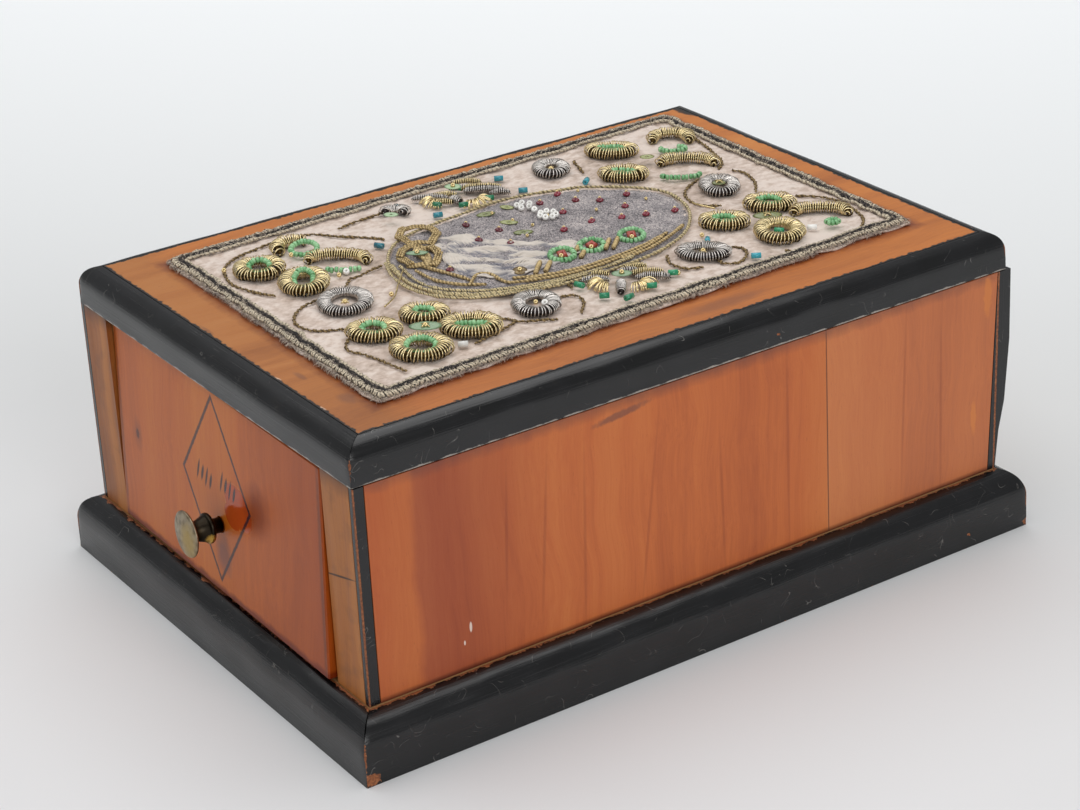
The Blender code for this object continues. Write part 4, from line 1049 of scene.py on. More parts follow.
gold_wire = metal_thread("gilt_purl", "4A3A1E", "F2DFAE", 0.2)
PETALS = {
    "front_left": ((-0.554, -0.821, 0.091, 0.088, 50),
                   (-0.650, -0.624, 0.130, 0.092, 50, 90, 220),
                   (-0.412, -0.590, 0.140, 0.056, 50, -15, 195),
                   (-0.275, -0.763, 0.112, 0.085, -29)),
    "front_right": ((0.420, -0.783, 0.094, 0.076, 50),
                    (0.412, -0.602, 0.083, 0.066, 50),
                    (0.664, -0.540, 0.109, 0.086, 50),
                    (0.717, -0.738, 0.106, 0.092, 50)),
    "back_left": ((-0.702, 0.618, 0.106, 0.056, 50),
                  (-0.393, 0.522, 0.096, 0.056, 50),
                  (-0.640, 0.845, 0.096, 0.080, 50, -15, 200),
                  (-0.300, 0.750, 0.140, 0.064, 50, -10, 190)),
    "back_right": ((0.413, 0.731, 0.096, 0.066, 50),
                   (0.450, 0.525, 0.092, 0.062, 50),
                   (0.668, 0.812, 0.132, 0.052, 50, -10, 190),
                   (0.726, 0.607, 0.108, 0.088, -29)),
}
PURL_LEVEL = 108.0
GOLD_COIL = dict(half_width=2.35, half_height=1.9, pitch=0.86, wire=0.2, play=0.08)
GOLD_CORE = 1.25
seed = 100
for corner, petals in PETALS.items():
    for number, petal in enumerate(petals, 1):
        path, closed = oval_line(petal, 0.0, 0.4, PURL_LEVEL)
        if not closed:
            path[:, 2] -= 1.1 * np.linspace(-1, 1, len(path)) ** 6
        seed += 1
        name = f"petal_{corner}_{number}"
        finish_piece("gold_" + name, join([shade_core(path, closed, GOLD_CORE),
                                           purl(path, closed, seed=seed, **GOLD_COIL)]),
                     gold_wire, [name])


# Seed beads: small opaque pale green glass rings, strung and stitched in a ring or a row
# inside each petal. Their rims are round, and the glass has a soft shine.
def pierced(reach, rise, around):
    """A pierced bead: a closed section of (reach, rise) points turned round the z axis."""
    turn = np.linspace(0, 2 * np.pi, around, endpoint=False)
    points = np.stack((np.cos(turn)[:, None] * reach, np.sin(turn)[:, None] * reach,
                       np.broadcast_to(rise, (around, len(reach)))), axis=-1)
    return points.reshape(-1, 3), grid_faces(around, len(reach), True, True)


def bead(radius, hole, half_length, around=10, across=6):
    """A ring-shaped bead, whose section is an ellipse."""
    section = np.linspace(0, 2 * np.pi, across, endpoint=False)
    middle, half = (radius + hole) / 2, (radius - hole) / 2
    return pierced(middle + half * np.cos(section), half_length * np.sin(section), around)


def scatter(template, centres, axes, marks=0.0, spin=None):
    """Copies of a template, each with its z axis turned to its own axis, or all to one."""
    points, quads = template
    axes = unit(np.broadcast_to(np.asarray(axes, dtype=float), (len(centres), 3)))
    helper = np.where(np.abs(axes[:, 2:]) > 0.9, (1.0, 0, 0), (0, 0, 1.0))
    first = unit(np.cross(helper, axes))
    second = np.cross(axes, first)
    if spin is not None:
        c, s = np.cos(spin)[:, None], np.sin(spin)[:, None]
        first, second = c * first + s * second, c * second - s * first
    placed = (points[None, :, :1] * first[:, None] + points[None, :, 1:2] * second[:, None]
              + points[None, :, 2:] * axes[:, None] + np.asarray(centres)[:, None])
    count = len(placed)
    faces = (quads[None] + np.arange(count)[:, None, None] * len(points)).reshape(-1, 4)
    held = np.repeat(np.broadcast_to(marks, count), len(points))
    return outward_shell((placed.reshape(-1, 3), faces, NO_TRIANGLES, held))


def glass(name, colour, pale, roughness=0.12):
    """Pressed glass: a clear bright skin over a colour that varies from bead to bead with
    the mark, with dull old dirt in patches 2 mm across."""
    material, tree, shader, place = new_material(name, IOR=1.52, Coat_Weight=0.3)
    dirt = node(tree, "TexNoise", {"Vector": place, "Scale": 1 / (2 * MM), "Detail": 2.0})
    mark = node(tree, "Attribute", attribute_name="mark").node.outputs["Fac"]
    value = node(tree, "Math", {0: dirt, 1: 0.5, 2: mark}, operation="MULTIPLY_ADD")
    tone = node(tree, "ValToRGB", {"Fac": value}, stops=[(0.15, colour), (0.9, pale)])
    rough = node(tree, "MapRange", {"Value": dirt, "From Min": 0.4, "From Max": 0.7,
                                    "To Min": roughness, "To Max": roughness + 0.3})
    fill(shader, {"Base Color": tone, "Roughness": rough})
    return material


SEED_RADIUS, SEED_HOLE, SEED_HALF_LENGTH, SEED_PITCH = 1.0, 0.3, 0.66, 1.24
seed_bead = bead(SEED_RADIUS, SEED_HOLE, SEED_HALF_LENGTH)


def bead_string(path, closed, seed):
    """Seed beads threaded along a path, one a pitch, each tipped a little."""
    rng = np.random.default_rng(seed)
    count = max(int(round(measured(path, closed)[-1] / SEED_PITCH)), 2)
    centres = even(path, count, closed)
    axes = slopes(centres, closed) + rng.normal(0, 0.12, centres.shape)
    centres = centres + rng.normal(0, 0.08, centres.shape)
    return scatter(seed_bead, centres, axes, rng.uniform(0, 0.5, count))


green_glass = glass("pale_green_glass", "589A60", "A6D6A2")
BEAD_LEVEL, ARCH_BEAD_LEVEL, COIL_TO_BEADS = 108.55, 107.3, 2.75
AWAY = np.array((-0.837, 0.547))


def perched(path, tilt=0.32):
    """A bead line perched on the coil behind it: it rises with the distance that it runs
    towards the far left, which lifts that side of the ring."""
    lift = (path[:, :2] - path[:, :2].mean(axis=0)) @ AWAY * tilt
    return path + lift[:, None] * (0, 0, 1.0)


# The rings and rows of the petals that are open arches, and the leaf-shaped one: place
# in mm, half sizes, turn and the angles that they run through.
ARCH_BEADS = (
    (-43.4, -61.3, 4.3, 3.9, 57), (-21.8, -59.2, 5.0, 1.0, 57, 185, 355),
    (-41.4, 86.8, 4.4, 2.4, 57, -200, 60), (-18.4, 72.9, 6.4, 2.0, 57, 170, 370),
    (49.8, 83.2, 1.9, 1.1, 57), (44.3, -53.9, 5.8, 1.4, 57),
)
strings = []
for corner, petals in PETALS.items():
    for number, petal in enumerate(petals, 1):
        seed += 1
        centre, a, b, turn, first, last = oval(petal)
        dark_middle = (corner, number) in (("back_right", 4), ("front_right", 3))
        if last - first > 6.2 and not dark_middle:
            inner = (*petal[:2], max(a - COIL_TO_BEADS, 1.4) / UNIT,
                     max(b - COIL_TO_BEADS, 1.0) / UNIT, petal[4])
            line, closed = oval_line(inner, 0.0, 0.2, BEAD_LEVEL)
            strings.append(bead_string(perched(line), True, seed))


def mm_oval(row, level):
    """An even line along an ellipse given in mm on the box, at a level."""
    x, y, long_half, wide_half, *turned_by = row
    share = (np.array((x, y)) - CLOTH_CENTRE) @ np.linalg.inv(CLOTH_SKEW).T / CLOTH_HALF
    return oval_line((*share, long_half / UNIT, wide_half / UNIT, *turned_by), 0.0, 0.2, level)


for row in ARCH_BEADS:
    seed += 1
    line, closed = mm_oval(row, ARCH_BEAD_LEVEL)
    if closed:
        line = perched(line + (0, 0, 0.9), 0.2)
    strings.append(bead_string(line, closed, seed))
finish_piece("petal_beads", join(strings), green_glass)


# Silver rings: six rings of finer silver purl, gone grey, each with a small gold cross
# stitch or a bead in its middle.
silver_wire = metal_thread("silver_purl", "3A3433", "DAD4CE", 0.2)
RINGS = (
    (0.044, -0.738, 0.124, 0.104, -29),
    (0.650, -0.300, 0.108, 0.088, -29),
    (0.678, 0.326, 0.106, 0.074, 50),
    (0.057, 0.705, 0.106, 0.076, -29),
    (-0.711, 0.368, 0.090, 0.072, -29),
    (-0.750, -0.242, 0.056, 0.040, 50, -40, 200),
)
RING_LEVEL = 107.65
SILVER_COIL = dict(half_width=2.3, half_height=1.5, pitch=0.78, wire=0.18, play=0.06)
SILVER_CORE = 1.4
for number, ring in enumerate(RINGS, 1):
    path, closed = oval_line(ring, -0.5, 0.4, RING_LEVEL)
    seed += 1
    finish_piece(f"silver_purl_ring_{number}",
                 join([shade_core(path, closed, SILVER_CORE),
                       purl(path, closed, seed=seed, **SILVER_COIL)]),
                 silver_wire, [f"silver_ring_{number}"])


# Side flowers: cut lengths of gold and silver purl laid out like petals, fans of gilt
# wire loops, dark green bugle beads at their tips and a sequin in the middle.
def stick_coil(start, end, half, seed):
    """A straight length of purl from one place to another, a little arched, on a core."""
    rise = 107.4 + 0.6 * np.sin(np.linspace(0, np.pi, 24))
    path = np.column_stack((np.linspace(start, end, 24), rise))
    coil = purl(path, False, half, half * 0.85, pitch=0.62, wire=0.16, seed=seed, play=0.06)
    return join([shade_core(path, False, half * 0.6), coil])


def spoke_fan(centre, first, last, count, seed):
    """Wire loops side by side in a fan: each is an arch that rises from the inner radius
    and comes down at the outer one, at an even angle with a little play."""
    inner, outer, foot_level, wire = 1.2, 6.8, 106.6, 0.2
    rng = np.random.default_rng(seed)
    angle = np.linspace(math.radians(first), math.radians(last), count)
    angle = angle + rng.normal(0, 0.05, count)
    t = np.linspace(0, 1, 9)[None, :]
    far = outer * rng.normal(1.0, 0.07, count)[:, None]
    reach = inner + (far - inner) * t
    rise = rng.normal(1.9, 0.25, count)[:, None] * np.sin(np.pi * t) ** 0.7
    paths = np.stack((centre[0] + reach * np.cos(angle)[:, None],
                      centre[1] + reach * np.sin(angle)[:, None],
                      foot_level + rise + 0 * reach), axis=-1)
    # The mark is highest at the top of each loop: a painted highlight there, darker towards the
    # feet.
    return sweep(paths, wire, 5, mark=0.35 + 0.5 * np.sin(np.pi * t) + 0 * reach)


# Each coil: start and end (mm on the box) and its half width. Each fan: centre, first and
# last angle, and how many loops.
FLOWER_COILS = {
    ("left", "gold"): (
        ((-57.6, -3.4), (-53.0, 4.2), 1.3), ((-52.0, -7.0), (-48.0, -0.8), 1.3),
        ((-57.6, 8.0), (-49.6, 20.0), 1.4), ((-63.4, 9.0), (-58.4, 17.4), 1.2)),
    ("left", "silver"): (
        ((-60.0, -10.0), (-52.6, 0.4), 1.3), ((-50.6, 0.0), (-46.4, 1.6), 1.6),
        ((-54.6, 7.6), (-47.0, 19.4), 1.4), ((-59.4, 4.6), (-55.6, 12.6), 1.2),
        ((-46.8, 13.4), (-43.4, 19.4), 1.3)),
    ("right", "gold"): (
        ((41.0, 8.6), (46.4, 17.4), 1.3), ((36.6, 8.0), (39.4, 16.0), 1.2),
        ((37.6, 2.6), (33.6, -1.6), 1.2)),
    ("right", "silver"): (
        ((45.0, 1.8), (51.6, -2.8), 1.6), ((44.8, 7.6), (51.0, 16.6), 1.4),
        ((38.2, 5.0), (40.6, 11.4), 1.3), ((40.6, 0.6), (35.8, -7.0), 1.2)),
}
FANS = {("left", "gold"): (((-46.4, 5.6), 300, 420, 26), ((-53.6, -2.6), 228, 330, 20)),
        ("right", "gold"): (((42.0, -0.6), 222, 322, 30), ((47.0, 5.6), 318, 412, 26))}
for (side, metal), coils in FLOWER_COILS.items():
    chosen = []
    for start, end, half in coils:
        seed += 1
        chosen.append(stick_coil(start, end, half, seed))
    for fan_row in FANS.get((side, metal), ()):
        seed += 1
        chosen.append(spoke_fan(*fan_row, seed))
    finish_piece(f"side_flower_{side}_{metal}", join(chosen),
                 {"gold": gold_wire, "silver": silver_wire}[metal],
                 [f"side_flower_{side}"])


def flat_axes(degrees):
    """Axes that lie level at the given angles."""
    angle = np.radians(degrees)
    return np.stack((np.cos(angle), np.sin(angle), 0 * angle), axis=-1)


def sequins(rows, level):
    """Small dished plates with a tiny hole, each an ellipse given by its place, half
    sizes and angle: a bead's ring drawn flat, tipped a little towards the front."""
    shells = []
    for number, (x, y, long_half, wide_half, degrees) in enumerate(rows):
        points, quads = bead(1.0, 0.09, 1.0, 14, 6)
        plate = (points * (long_half, wide_half, 0.16), quads)
        shells.append(scatter(plate, [(x, y, level)], [(0.16, -0.1, 1.0)],
                              0.15 + 0.5 * (number % 2), [math.radians(degrees + 90)]))
    return join(shells)


# Loose bugles: place, angle. Dark green ones tip the side flowers; teal and white ones
# lie over the cloth.
DARK_BUGLES = ((-49.4, -6.4, 30), (-43.4, 0.4, 70), (-43.0, 10.6, 60), (-58.0, 7.4, 40),
               (50.6, -8.6, 60), (56.4, -3.4, 100), (53.6, 7.4, 60), (38.6, -9.6, 20),
               (49.6, 18.6, 60), (43.6, 66.0, 40))
TEAL_BUGLES = ((-31.6, -40.0, 30), (-56.6, -16.8, 60), (-42.2, -10.6, 70), (-42.6, 24.0, 60),
               (-57.6, 24.0, 60), (-35.6, 45.4, 130), (34.4, 43.8, 140), (54.6, 47.8, 60))
WHITE_BUGLES = ((52.3, -61.7, 62), (47.4, 76.6, 56))
dark_green = glass("dark_green_bugle", "0A4A30", "2E9A6C", 0.06)
teal = glass("teal_bugle", "0C4C5C", "3FA6B6", 0.06)
white = glass("white_bead", "C9C6C0", "F3F1EC", 0.15)
BUGLE_RADIUS, BUGLE_HOLE, BUGLE_HALF_LENGTH = 1.0, 0.4, 1.55
bugle_bead = pierced(np.array((BUGLE_RADIUS, BUGLE_RADIUS, BUGLE_HOLE, BUGLE_HOLE)),
                     np.array((-1, 1, 1, -1)) * BUGLE_HALF_LENGTH, 8)
for name, rows, level, material in (("dark_green_bugles", DARK_BUGLES, 107.65, dark_green),
                                    ("teal_bugles", TEAL_BUGLES, 107.15, teal),
                                    ("white_bugles", WHITE_BUGLES, 107.15, white)):
    rows = np.array(rows)
    finish_piece(name, scatter(bugle_bead, at_level(rows[:, :2], level),
                               flat_axes(rows[:, 2]), np.linspace(0.1, 0.6, len(rows))),
                 material)
LEAVES = ((37.8, -65.7, 5.2, 2.5, 57), (-56.4, 4.6, 3.0, 1.9, 50), (43.0, 3.6, 3.4, 1.9, 57),
          (-47.9, -25.3, 2.6, 1.5, 50), (-13.5, -36.6, 3.8, 1.4, 57))
OLIVE_LEAVES = ((32.6, 70.0, 5.0, 2.3, 57), (-38.0, 73.0, 2.6, 1.6, 57),
                (-1.6, 76.4, 2.4, 1.5, 57))
leaf_green = glass("pale_green_sequin", "5E7C5A", "9DB88E", 0.18)
olive = glass("olive_sequin", "616A38", "8F9358", 0.18)
finish_piece("green_sequins", sequins(LEAVES, 109.35), leaf_green)
finish_piece("olive_sequins", sequins(OLIVE_LEAVES, 108.6), olive)

# Small gilt beads and cross stitches: in the middles of the rings, rosettes and sequins,
# and a few on the cloth.
SMALL_GOLD = ((41.8, -28.2, 108.0), (41.7, 36.5, 107.9), (37.8, -65.7, 109.7),
              (43.0, 3.6, 109.8), (-56.4, 4.6, 109.8), (-46.4, -89.3, 107.0),
              (29.2, 45.6, 107.0), (-13.5, -36.6, 109.7), (17.0, -17.4, 108.1),
              (17.2, -1.6, 108.6), (17.3, 10.1, 108.6), (18.8, 25.1, 108.6),
              (-19.1, -62.5, 106.9), (49.6, 20.6, 107.0), (-52.7, 42.5, 107.6),
              (2.0, -72.8, 107.6), (-41.0, -67.5, 108.3), (5.4, -58.0, 107.0))
gilt_bead = metal_thread("gilt_bead", "6C5634", "DCC692", 0.2)
finish_piece("small_gilt_beads", scatter(bead(0.85, 0.2, 0.6, 8), SMALL_GOLD,
                                         (0.5, -0.3, 0.8), 0.6), gilt_bead)
CROSSES = ((2.0, -72.8, 107.5), (-1.6, 76.4, 109.0), (-52.7, 42.5, 107.5),
           (37.8, -65.7, 109.55), (41.7, 36.5, 107.5), (32.6, 70.0, 108.9))
arms = []
for x, y, level in CROSSES:
    for degrees in (15, 105):
        way = flat_axes(np.array(degrees, dtype=float))[None, :] * 1.7
        t = np.linspace(-1, 1, 5)[:, None]
        arms.append(np.array((x, y, level)) + t * way + 0.4 * (1 - t ** 2) * (0, 0, 1.0))
LOOSE_WIRES = (((-6.5, -46.2, 108.4), (1.0, -52.8, 107.6), (7.6, -58.2, 107.0),
                (12.5, -64.8, 107.0)),
               ((4.2, 60.6, 107.0), (9.4, 61.2, 107.3), (13.0, 63.4, 106.9)),
               ((-1.0, -64.5, 106.9), (2.6, -66.4, 107.2), (6.5, -66.0, 106.8)))
wires = [sweep(smooth_line(line, 0.6), 0.3, 6, mark=0.9) for line in LOOSE_WIRES]
finish_piece("cross_stitches", join([sweep(np.array(arms), 0.24, 5, mark=0.8), *wires]),
             gilt_bead)


# Medallion: a low oval pad covered in couched grey chenille, with its gold cords. The
# chenille is a furred grey thread, speckled light and dark.
OVAL_LINE = ((-36.4, -15.4), (-37.8, -4.6), (-39.7, 8.6), (-38.1, 23.4), (-34.6, 33.8),
             (-31.6, 41.6), (-19.8, 54.5), (-8.9, 59.9), (4.9, 57.5), (15.9, 50.8),
             (24.9, 41.1), (31.1, 27.2), (33.6, 12.0), (34.0, -2.6), (32.9, -16.8),
             (27.4, -31.9), (20.6, -42.4), (9.4, -48.2), (-4.7, -48.7), (-20.1, -43.7),
             (-31.8, -32.0))
rim = smooth_line(OVAL_LINE, 1.0, closed=True)
middle = rim.mean(axis=0)
shares = np.linspace(0, 1, 60)[1:, None, None]
flat = middle + (rim - middle)[None] * shares * 0.985
height = 106.15 + 0.9 * (1 - shares[..., 0] ** 6) + 0.25 * ripple(flat, 1.4, 71)
height = height + 0.2 * ripple(flat, 7.0, 72)
count = len(rim)
points = np.concatenate((np.concatenate((flat, height[..., None]), axis=-1).reshape(-1, 3),
                         [(*middle, 107.05)]))
quads = grid_faces(59, count, columns_wrap=True)
cap = fan(np.arange(count), len(points) - 1, turn=True)
chenille, tree, shader, place = new_material("grey_chenille", Roughness=0.95,
                                             Sheen_Weight=0.3, Sheen_Roughness=0.5)
# Light and dark tufts 0.55 mm across, clouds 9 mm across.
tufts = node(tree, "TexNoise", {"Vector": place, "Scale": 1 / (0.55 * MM), "Detail": 3.0,
                                "Roughness": 0.7})
clouds = node(tree, "TexNoise", {"Vector": place, "Scale": 1 / (9 * MM), "Detail": 3.0})
value = node(tree, "Math", {0: clouds, 1: 0.3, 2: tufts}, operation="MULTIPLY_ADD")
tone = node(tree, "ValToRGB", {"Fac": value},
            stops=[(0.5, "3E3A3D"), (0.61, "7C7577"), (0.72, "AAA09F"), (0.82, "D3C8C2")])
bump = node(tree, "Bump", {"Height": tufts, "Distance": 0.5 * MM, "Strength": 0.8})
fill(shader, {"Base Color": tone, "Normal": bump})
finish_piece("medallion_chenille", (points, quads, cap, 0.0), chenille,
             ["medallion_pad"])



def raised_line(points, level, step=0.45, closed=False):
    """A smooth line through flat places, laid at a level."""
    return at_level(smooth_line(points, step, closed), level)


# Floss: loose silk in waves over the near part of the pad, cream with blue-grey shadows.
# Each strand runs from the left corner to the right one, a share of the way between an
# upper and a lower edge, and all of them sway together.
FLOSS_UPPER = ((-24.7, -24.7), (-23.8, -15.6), (-11.8, -9.7), (-3.3, -3.7), (3.1, 7.7),
               (8.7, 19.6))
FLOSS_LOWER = ((-24.7, -24.7), (-5.5, -31.2), (8.8, -30.9), (17.0, -25.0), (19.1, -15.0),
               (18.5, -3.0), (15.4, 8.9), (8.7, 19.6))
STRANDS, STRAND_STEPS = 64, 70
edges = []
for edge in (FLOSS_UPPER, FLOSS_LOWER):
    dense = smooth_line(edge, 0.2)
    spots = np.linspace(0, len(dense) - 1, STRAND_STEPS)
    edges.append(np.stack([np.interp(spots, np.arange(len(dense)), dense[:, k])
                           for k in (0, 1)], axis=-1))
share = np.linspace(0, 1, STRANDS)[:, None, None]
strands = edges[0] * (1 - share) + edges[1] * share
wave = ripple(strands * (1.0, 0.6), 9.0, 120)[..., None]
strands = strands + 0.9 * wave * (AWAY[0], AWAY[1]) * np.sin(np.pi * share)
drawn = np.stack((strands @ (0.6, 0.8) * 0.35, strands @ (0.8, -0.6) * 1.2), axis=-1)
lift = 107.15 + 0.55 * ripple(drawn, 6.5, 121) + 0.25 * ripple(drawn, 2.2, 122)
ends = np.abs(np.linspace(-1, 1, STRAND_STEPS))[None, :] ** 6
lift = lift - 0.8 * ends
strand_rng = np.random.default_rng(123)
# The shade follows the same ripple as the lift, so the troughs of the waves are painted blue-grey:
# painted shade, with a little random tone for each strand.
shade = 0.6 + 0.5 * ripple(drawn, 6.5, 121) + 0.18 * strand_rng.normal(size=(STRANDS, 1))
paths = np.concatenate((strands, lift[..., None]), axis=-1)
floss = thread_material("silk_floss", "74737C", "D2C8BD", 0.6, spot=3.0)
finish_piece("floss_waves", sweep(paths, 0.36, 5, mark=shade, flat=0.8), floss)

gold_cord = thread_material("gold_couching_cord", "6A5634", "CDB482", 0.4, metallic=0.4,
                            spot=1.2)
pale_cord = thread_material("pale_gilt_cord", "5E5340", "D8C698", 0.5, metallic=0.3)
finish_piece("medallion_edge_cord",
             twist(raised_line(OVAL_LINE, 107.05, 0.5, True), 0.3, 0.34, 1.7, (0.9, 0.4),
                   closed=True, seed=73), pale_cord, ["medallion_cord"])
# Near-side bands, outside in: two pale gilt braids, then finely beaded gold ropes, and a
# little arch of rope over a dark spot.
BRAIDS = (
    ((-16.9, -46.5), (-6.7, -50.4), (3.9, -51.6), (12.8, -50.0), (20.0, -45.9), (25.1, -40.0),
     (28.6, -32.1), (31.6, -22.0), (33.2, -12.0)),
    ((-11.8, -44.3), (0.2, -46.4), (9.1, -45.8), (16.7, -41.1), (22.4, -34.4), (26.4, -26.5),
     (29.3, -16.8), (30.8, -6.0), (31.5, 6.0), (29.7, 18.0)),
    ((-14.6, -45.6), (-3.0, -48.8), (6.6, -48.8), (15.0, -45.6), (21.4, -40.2), (25.8, -33.4),
     (29.0, -24.0), (31.4, -13.0), (32.4, -2.0)),
)
ROPES = (
    ((-5.0, -42.7), (6.0, -42.1), (14.2, -37.7), (19.2, -31.6)),
    ((-8.5, -39.7), (0.8, -36.9), (10.0, -34.1), (13.0, -33.7)),
    ((16.5, -36.0), (10.9, -29.9), (12.6, -26.2), (19.6, -26.0), (23.1, -24.6), (26.6, -16.1),
     (28.8, -7.6), (29.5, 3.0), (28.6, 13.0), (27.0, 23.3), (23.4, 34.1)),
    ((20.6, -22.4), (25.2, -12.6), (27.0, -4.0), (27.4, 4.0), (26.8, 13.9), (24.8, 26.0),
     (21.4, 37.3)),
    ((29.7, 13.2), (28.6, 24.3), (24.6, 35.1), (19.4, 45.3)),
    ((24.0, -19.6), (26.0, -10.0), (28.2, 0.0)),
)
braids = [twist(raised_line(line, 107.35, 0.45), 0.4, 0.28, 1.9, (1.0, 0.5, 0.9, 0.15),
                seed=74 + k, uneven=0.3, flat=0.5) for k, line in enumerate(BRAIDS)]
finish_piece("medallion_gilt_braids", join(braids), pale_cord)
ropes = [twist(raised_line(line, 107.6, 0.3), 0.28, 0.36, 1.4, (1.0, 0.35), seed=78 + k)
         for k, line in enumerate(ROPES)]
finish_piece("medallion_gold_bands", join(ropes), gold_cord)

# Scrolls: two loops of smooth gilt strands in short bent lengths, three side by side,
# laid over each other at the corners like a loose knot, with beaded rope in the near one.
LOOPS = (
    ((-37.0, -26.6), (-33.4, -20.6), (-26.6, -20.8), (-21.0, -26.6), (-25.4, -32.2),
     (-32.2, -32.0)),
    ((-22.6, -34.8), (-17.4, -29.0), (-10.6, -30.0), (-4.8, -35.6), (-9.8, -41.8),
     (-17.2, -40.8)),
)
bundles = []
for number, loop in enumerate(LOOPS):
    corners = np.array(loop)
    following = np.roll(corners, -1, axis=0)
    out = unit((corners + following) / 2 - corners.mean(axis=0))
    t = np.linspace(-0.12, 1.12, 12)[None, :, None]
    for strand in (-1, 0, 1):
        inward = 1.0 * strand
        line = corners[:, None] + (following - corners)[:, None] * t
        line = line + out[:, None] * (0.35 * np.sin(np.pi * t) - inward)
        level = 107.75 + 0.5 * np.sin(np.pi * t[..., 0] + number)
        level = level + 0.18 * np.arange(len(loop))[:, None] % 0.5
        for piece in np.concatenate((line, level[..., None]), axis=-1):
            bundles.append(twist(smooth_line(piece, 0.28), 0.2, 0.3, 1.1, (1.0, 0.35),
                                 seed=90 + strand, uneven=0.3))
rows = [np.array(((-20.6, -33.2 - 0.2 * k), (-13.0, -33.0 - 0.6 * k), (-6.6, -36.0 - 0.3 * k)))
        + (1.35 * k, -0.9 * k) for k in range(3)]
bundles += [twist(raised_line(row, 108.0, 0.3), 0.36, 0.42, 1.4, (0.9, 0.5), seed=85 + k)
            for k, row in enumerate(rows)]
finish_piece("medallion_scrolls", join(bundles), gold_cord)

# Gold bars: short straight lengths of thin gilt coil, sewn down between the rosettes,
# with one gilt sequin.
BARS = (((22.9, -15.6), (15.3, -8.4)), ((23.6, -12.2), (17.4, -5.9)), ((15.7, 5.2), (12.7, 8.4)),
        ((21.7, 15.5), (14.7, 22.6)), ((20.4, 13.4), (14.0, 19.6)), ((21.4, 3.0), (17.4, 7.2)))
bars = []
for start, end in BARS:
    path = at_level(np.linspace(start, end, 20), 107.9)
    seed += 1
    bars.append(purl(path, False, 0.66, 0.66, pitch=0.5, wire=0.2, seed=seed, play=0.05))
    # A dark core inside the bar's coil: painted shade for the hollow of the coil.
    bars.append(sweep(path, 0.5, 8, mark=0.1))
bars.append(sequins(((17.0, -17.4, 2.4, 2.4, 0),), 107.75))
finish_piece("gold_bars", join(bars), gold_cord)

# Rosettes: rings of green seed beads round a squarish coral bead, on the medallion's near
# side.
ROSETTES = ((0.275, -0.033), (0.277, 0.080), (0.302, 0.225))
coral = glass("coral_bead", "7C2218", "BC4A38", 0.3)
for number, place_on in enumerate(ROSETTES, 1):
    ring = (*place_on, 0.058, 0.050, 60)
    path, closed = oval_line(ring, 0.0, 0.2, 108.1)
    finish_piece(f"rosette_beads_{number}", bead_string(perched(path, 0.2), True, 90 + number),
                 green_glass, [f"bead_rosette_{number}"])
finish_piece("rosette_centres",
             scatter(bead(2.15, 0.3, 0.95, 4), at_level(on_cloth(ROSETTES), 108.1),
                     (0.3, -0.2, 1), 0.3, [0.5, 0.9, 0.3]), coral)

# Scattered stones on the chenille: dark red beads, each with a gilt bead beside it, gilt
# dots, olive leaves, and two daisies of white seed beads.
RED_BEADS = np.array((
    (-27.4, -9.0), (-16.5, -3.1), (-13.5, -13.0), (-4.5, -6.5), (1.8, -34.0), (-27.9, 20.9),
    (-22.3, 31.6), (-16.9, 37.8), (-15.6, 47.9), (-6.9, 41.0), (3.5, 42.0), (6.9, 51.4),
    (-16.0, 22.1), (-2.9, 13.4), (-3.1, 24.7), (0.5, 34.3), (-31.0, 30.2)))
red_glass = glass("dark_red_bead", "3C0713", "8E2638", 0.08)
points, quads = bead(0.95, 0.12, 0.62, 8)
finish_piece("red_beads",
             scatter((points * (1.5, 1.0, 1.0), quads), at_level(RED_BEADS, 107.55),
                     (0.3, -0.2, 0.9), np.linspace(0.1, 0.6, len(RED_BEADS)),
                     np.linspace(2.3, 2.9, len(RED_BEADS))), red_glass)
GILT_DOTS = ((-28.7, 37.1), (-7.5, 50.1), (-10.2, 31.6), (-16.3, 16.2), (-20.6, 5.0),
             (-6.0, 1.0), (-12.6, 7.6), (-30.2, 3.2))
tops = np.concatenate((RED_BEADS + 1.5 * AWAY, GILT_DOTS))
finish_piece("gilt_dots", scatter(bead(0.62, 0.15, 0.5, 7, 5), at_level(tops, 107.75),
                                  (0.5, -0.3, 0.8), 0.5), gilt_bead)
DAISIES = ((-28.3, 14.7, 5, 2.3, 0.3), (-16.3, 16.2, 7, 2.7, 0.0))
petals = [(x + out * math.cos(2 * math.pi * k / count + start),
           y + out * math.sin(2 * math.pi * k / count + start), 108.2)
          for x, y, count, out, start in DAISIES for k in range(count)]
petals += [(-22.4, 15.0, 108.4), (-19.1, -59.8, 107.4), (44.4, -26.6, 108.2)]
finish_piece("white_daisies", scatter(bead(1.15, 0.32, 0.8), petals, (0.45, -0.3, 0.85),
                                      np.linspace(0.3, 0.9, len(petals))),
             white)
PAD_LEAVES = ((-31.4, 1.5, 3.4, 1.5, 70), (-20.3, 3.3, 3.2, 1.4, 50), (-9.8, 2.0, 3.4, 1.5, 60),
              (-32.1, 10.4, 2.6, 1.3, 40))
finish_piece("pad_leaves", sequins(PAD_LEAVES, 107.55), olive)

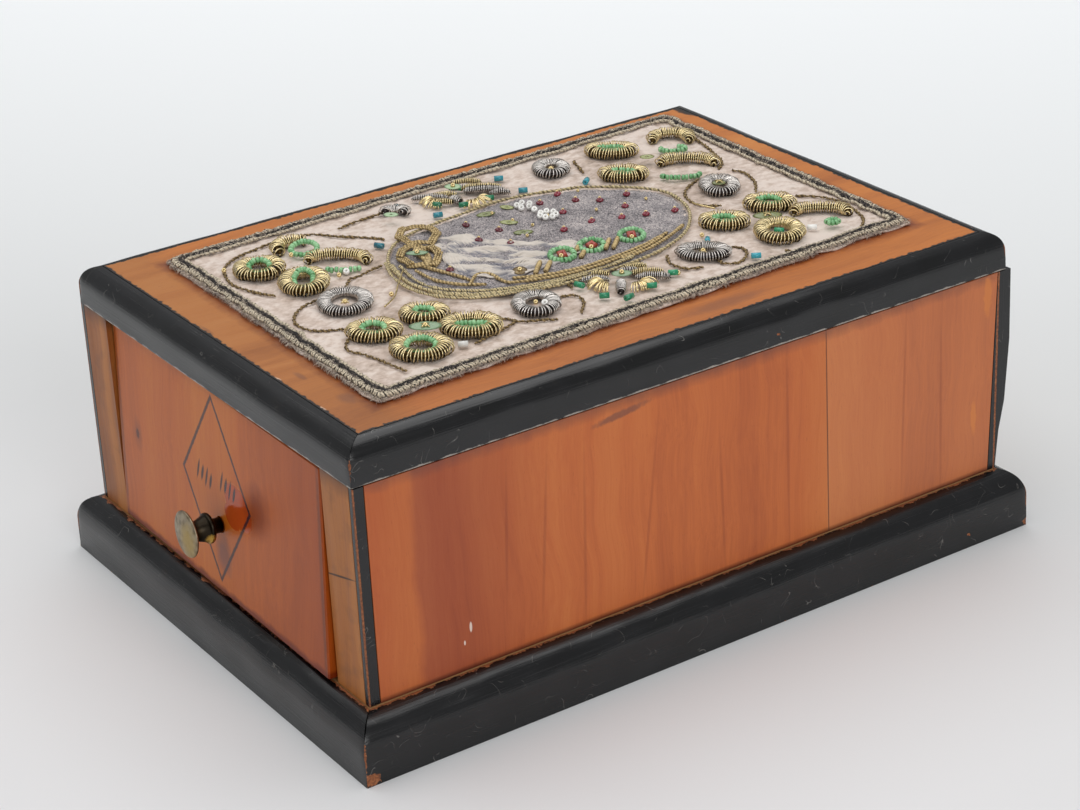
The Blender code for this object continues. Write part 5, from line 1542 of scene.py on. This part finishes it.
# Vines: thin brown-gold threads, twisted from two plies and couched in uneven loops
# round the flowers.
VINES = (
    ((-18.3, -86.0), (-22.6, -88.6), (-28.6, -90.8), (-35.2, -92.2), (-43.3, -90.5),
     (-50.0, -87.0), (-54.8, -80.2), (-56.8, -72.5), (-58.4, -64.9), (-57.5, -56.0),
     (-56.1, -50.7), (-48.9, -45.2), (-43.9, -40.3), (-37.0, -34.7)),
    ((-54.8, -41.7), (-56.5, -34.8), (-57.4, -25.3), (-57.7, -22.1)),
    ((-15.3, -60.8), (-15.2, -57.5), (-17.1, -51.6), (-17.7, -47.4)),
    ((-15.3, -60.8), (-9.3, -66.1)),
    ((-7.3, -75.2), (-5.7, -82.6), (-1.6, -88.6), (4.4, -92.0), (10.9, -91.7), (15.1, -88.3),
     (19.0, -80.7)),
    ((25.1, -85.2), (29.4, -88.9), (33.5, -89.8), (37.3, -88.1), (43.4, -86.5),
     (50.3, -85.3), (56.4, -84.2)),
    ((41.7, -41.7), (46.4, -39.2), (49.2, -44.8), (51.0, -51.5), (53.0, -57.9)),
    ((46.4, -39.2), (48.9, -37.1), (51.4, -32.3), (54.1, -28.5)),
    ((39.9, -19.5), (42.1, -13.8), (48.0, -14.6), (54.7, -20.3)),
    ((36.6, -10.9), (32.4, -9.5), (32.5, -4.6)),
    ((34.7, 27.2), (40.6, 24.3), (47.1, 25.4), (50.0, 30.4)),
    ((41.2, 46.4), (45.2, 49.4), (50.5, 47.3), (54.0, 41.5), (51.6, 37.2), (46.7, 38.0)),
    ((20.4, 91.7), (26.9, 97.4), (34.9, 99.5), (46.7, 97.2), (53.6, 93.0), (59.6, 83.0),
     (61.0, 71.2), (59.6, 62.9), (55.9, 58.6)),
    ((-12.8, 90.6), (-7.9, 92.3), (1.1, 89.6), (9.0, 83.9)),
    ((-13.4, 76.7), (-9.1, 68.6), (-2.7, 63.2), (5.7, 62.1), (11.6, 67.2)),
    ((-49.2, 101.0), (-35.1, 97.8), (-22.0, 93.3), (-16.6, 88.0)),
    ((-56.1, 54.4), (-44.4, 50.5)),
)


def wandering(path, reach, pitch):
    """A couched thread's path, pulled from side to side in a triangle wave."""
    run = np.arange(len(path)) * np.linalg.norm(path[1] - path[0]) / pitch
    swing = np.abs((run % 1.0) * 4 - 2) - 1
    side = np.cross((0, 0, 1.0), slopes(path, False))
    return path + side * (reach * swing)[:, None]


vine_thread = thread_material("couched_vine_thread", "54432A", "9C8458", 0.55, metallic=0.3,
                              spot=1.2)
vines = [twist(wandering(raised_line(line, 106.4, 0.4), 0.32, 2.6), 0.22, 0.27, 1.7, (0.2, 0.8),
               sides=5, seed=130 + k, uneven=0.2) for k, line in enumerate(VINES)]
finish_piece("vine_threads", join(vines), vine_thread)
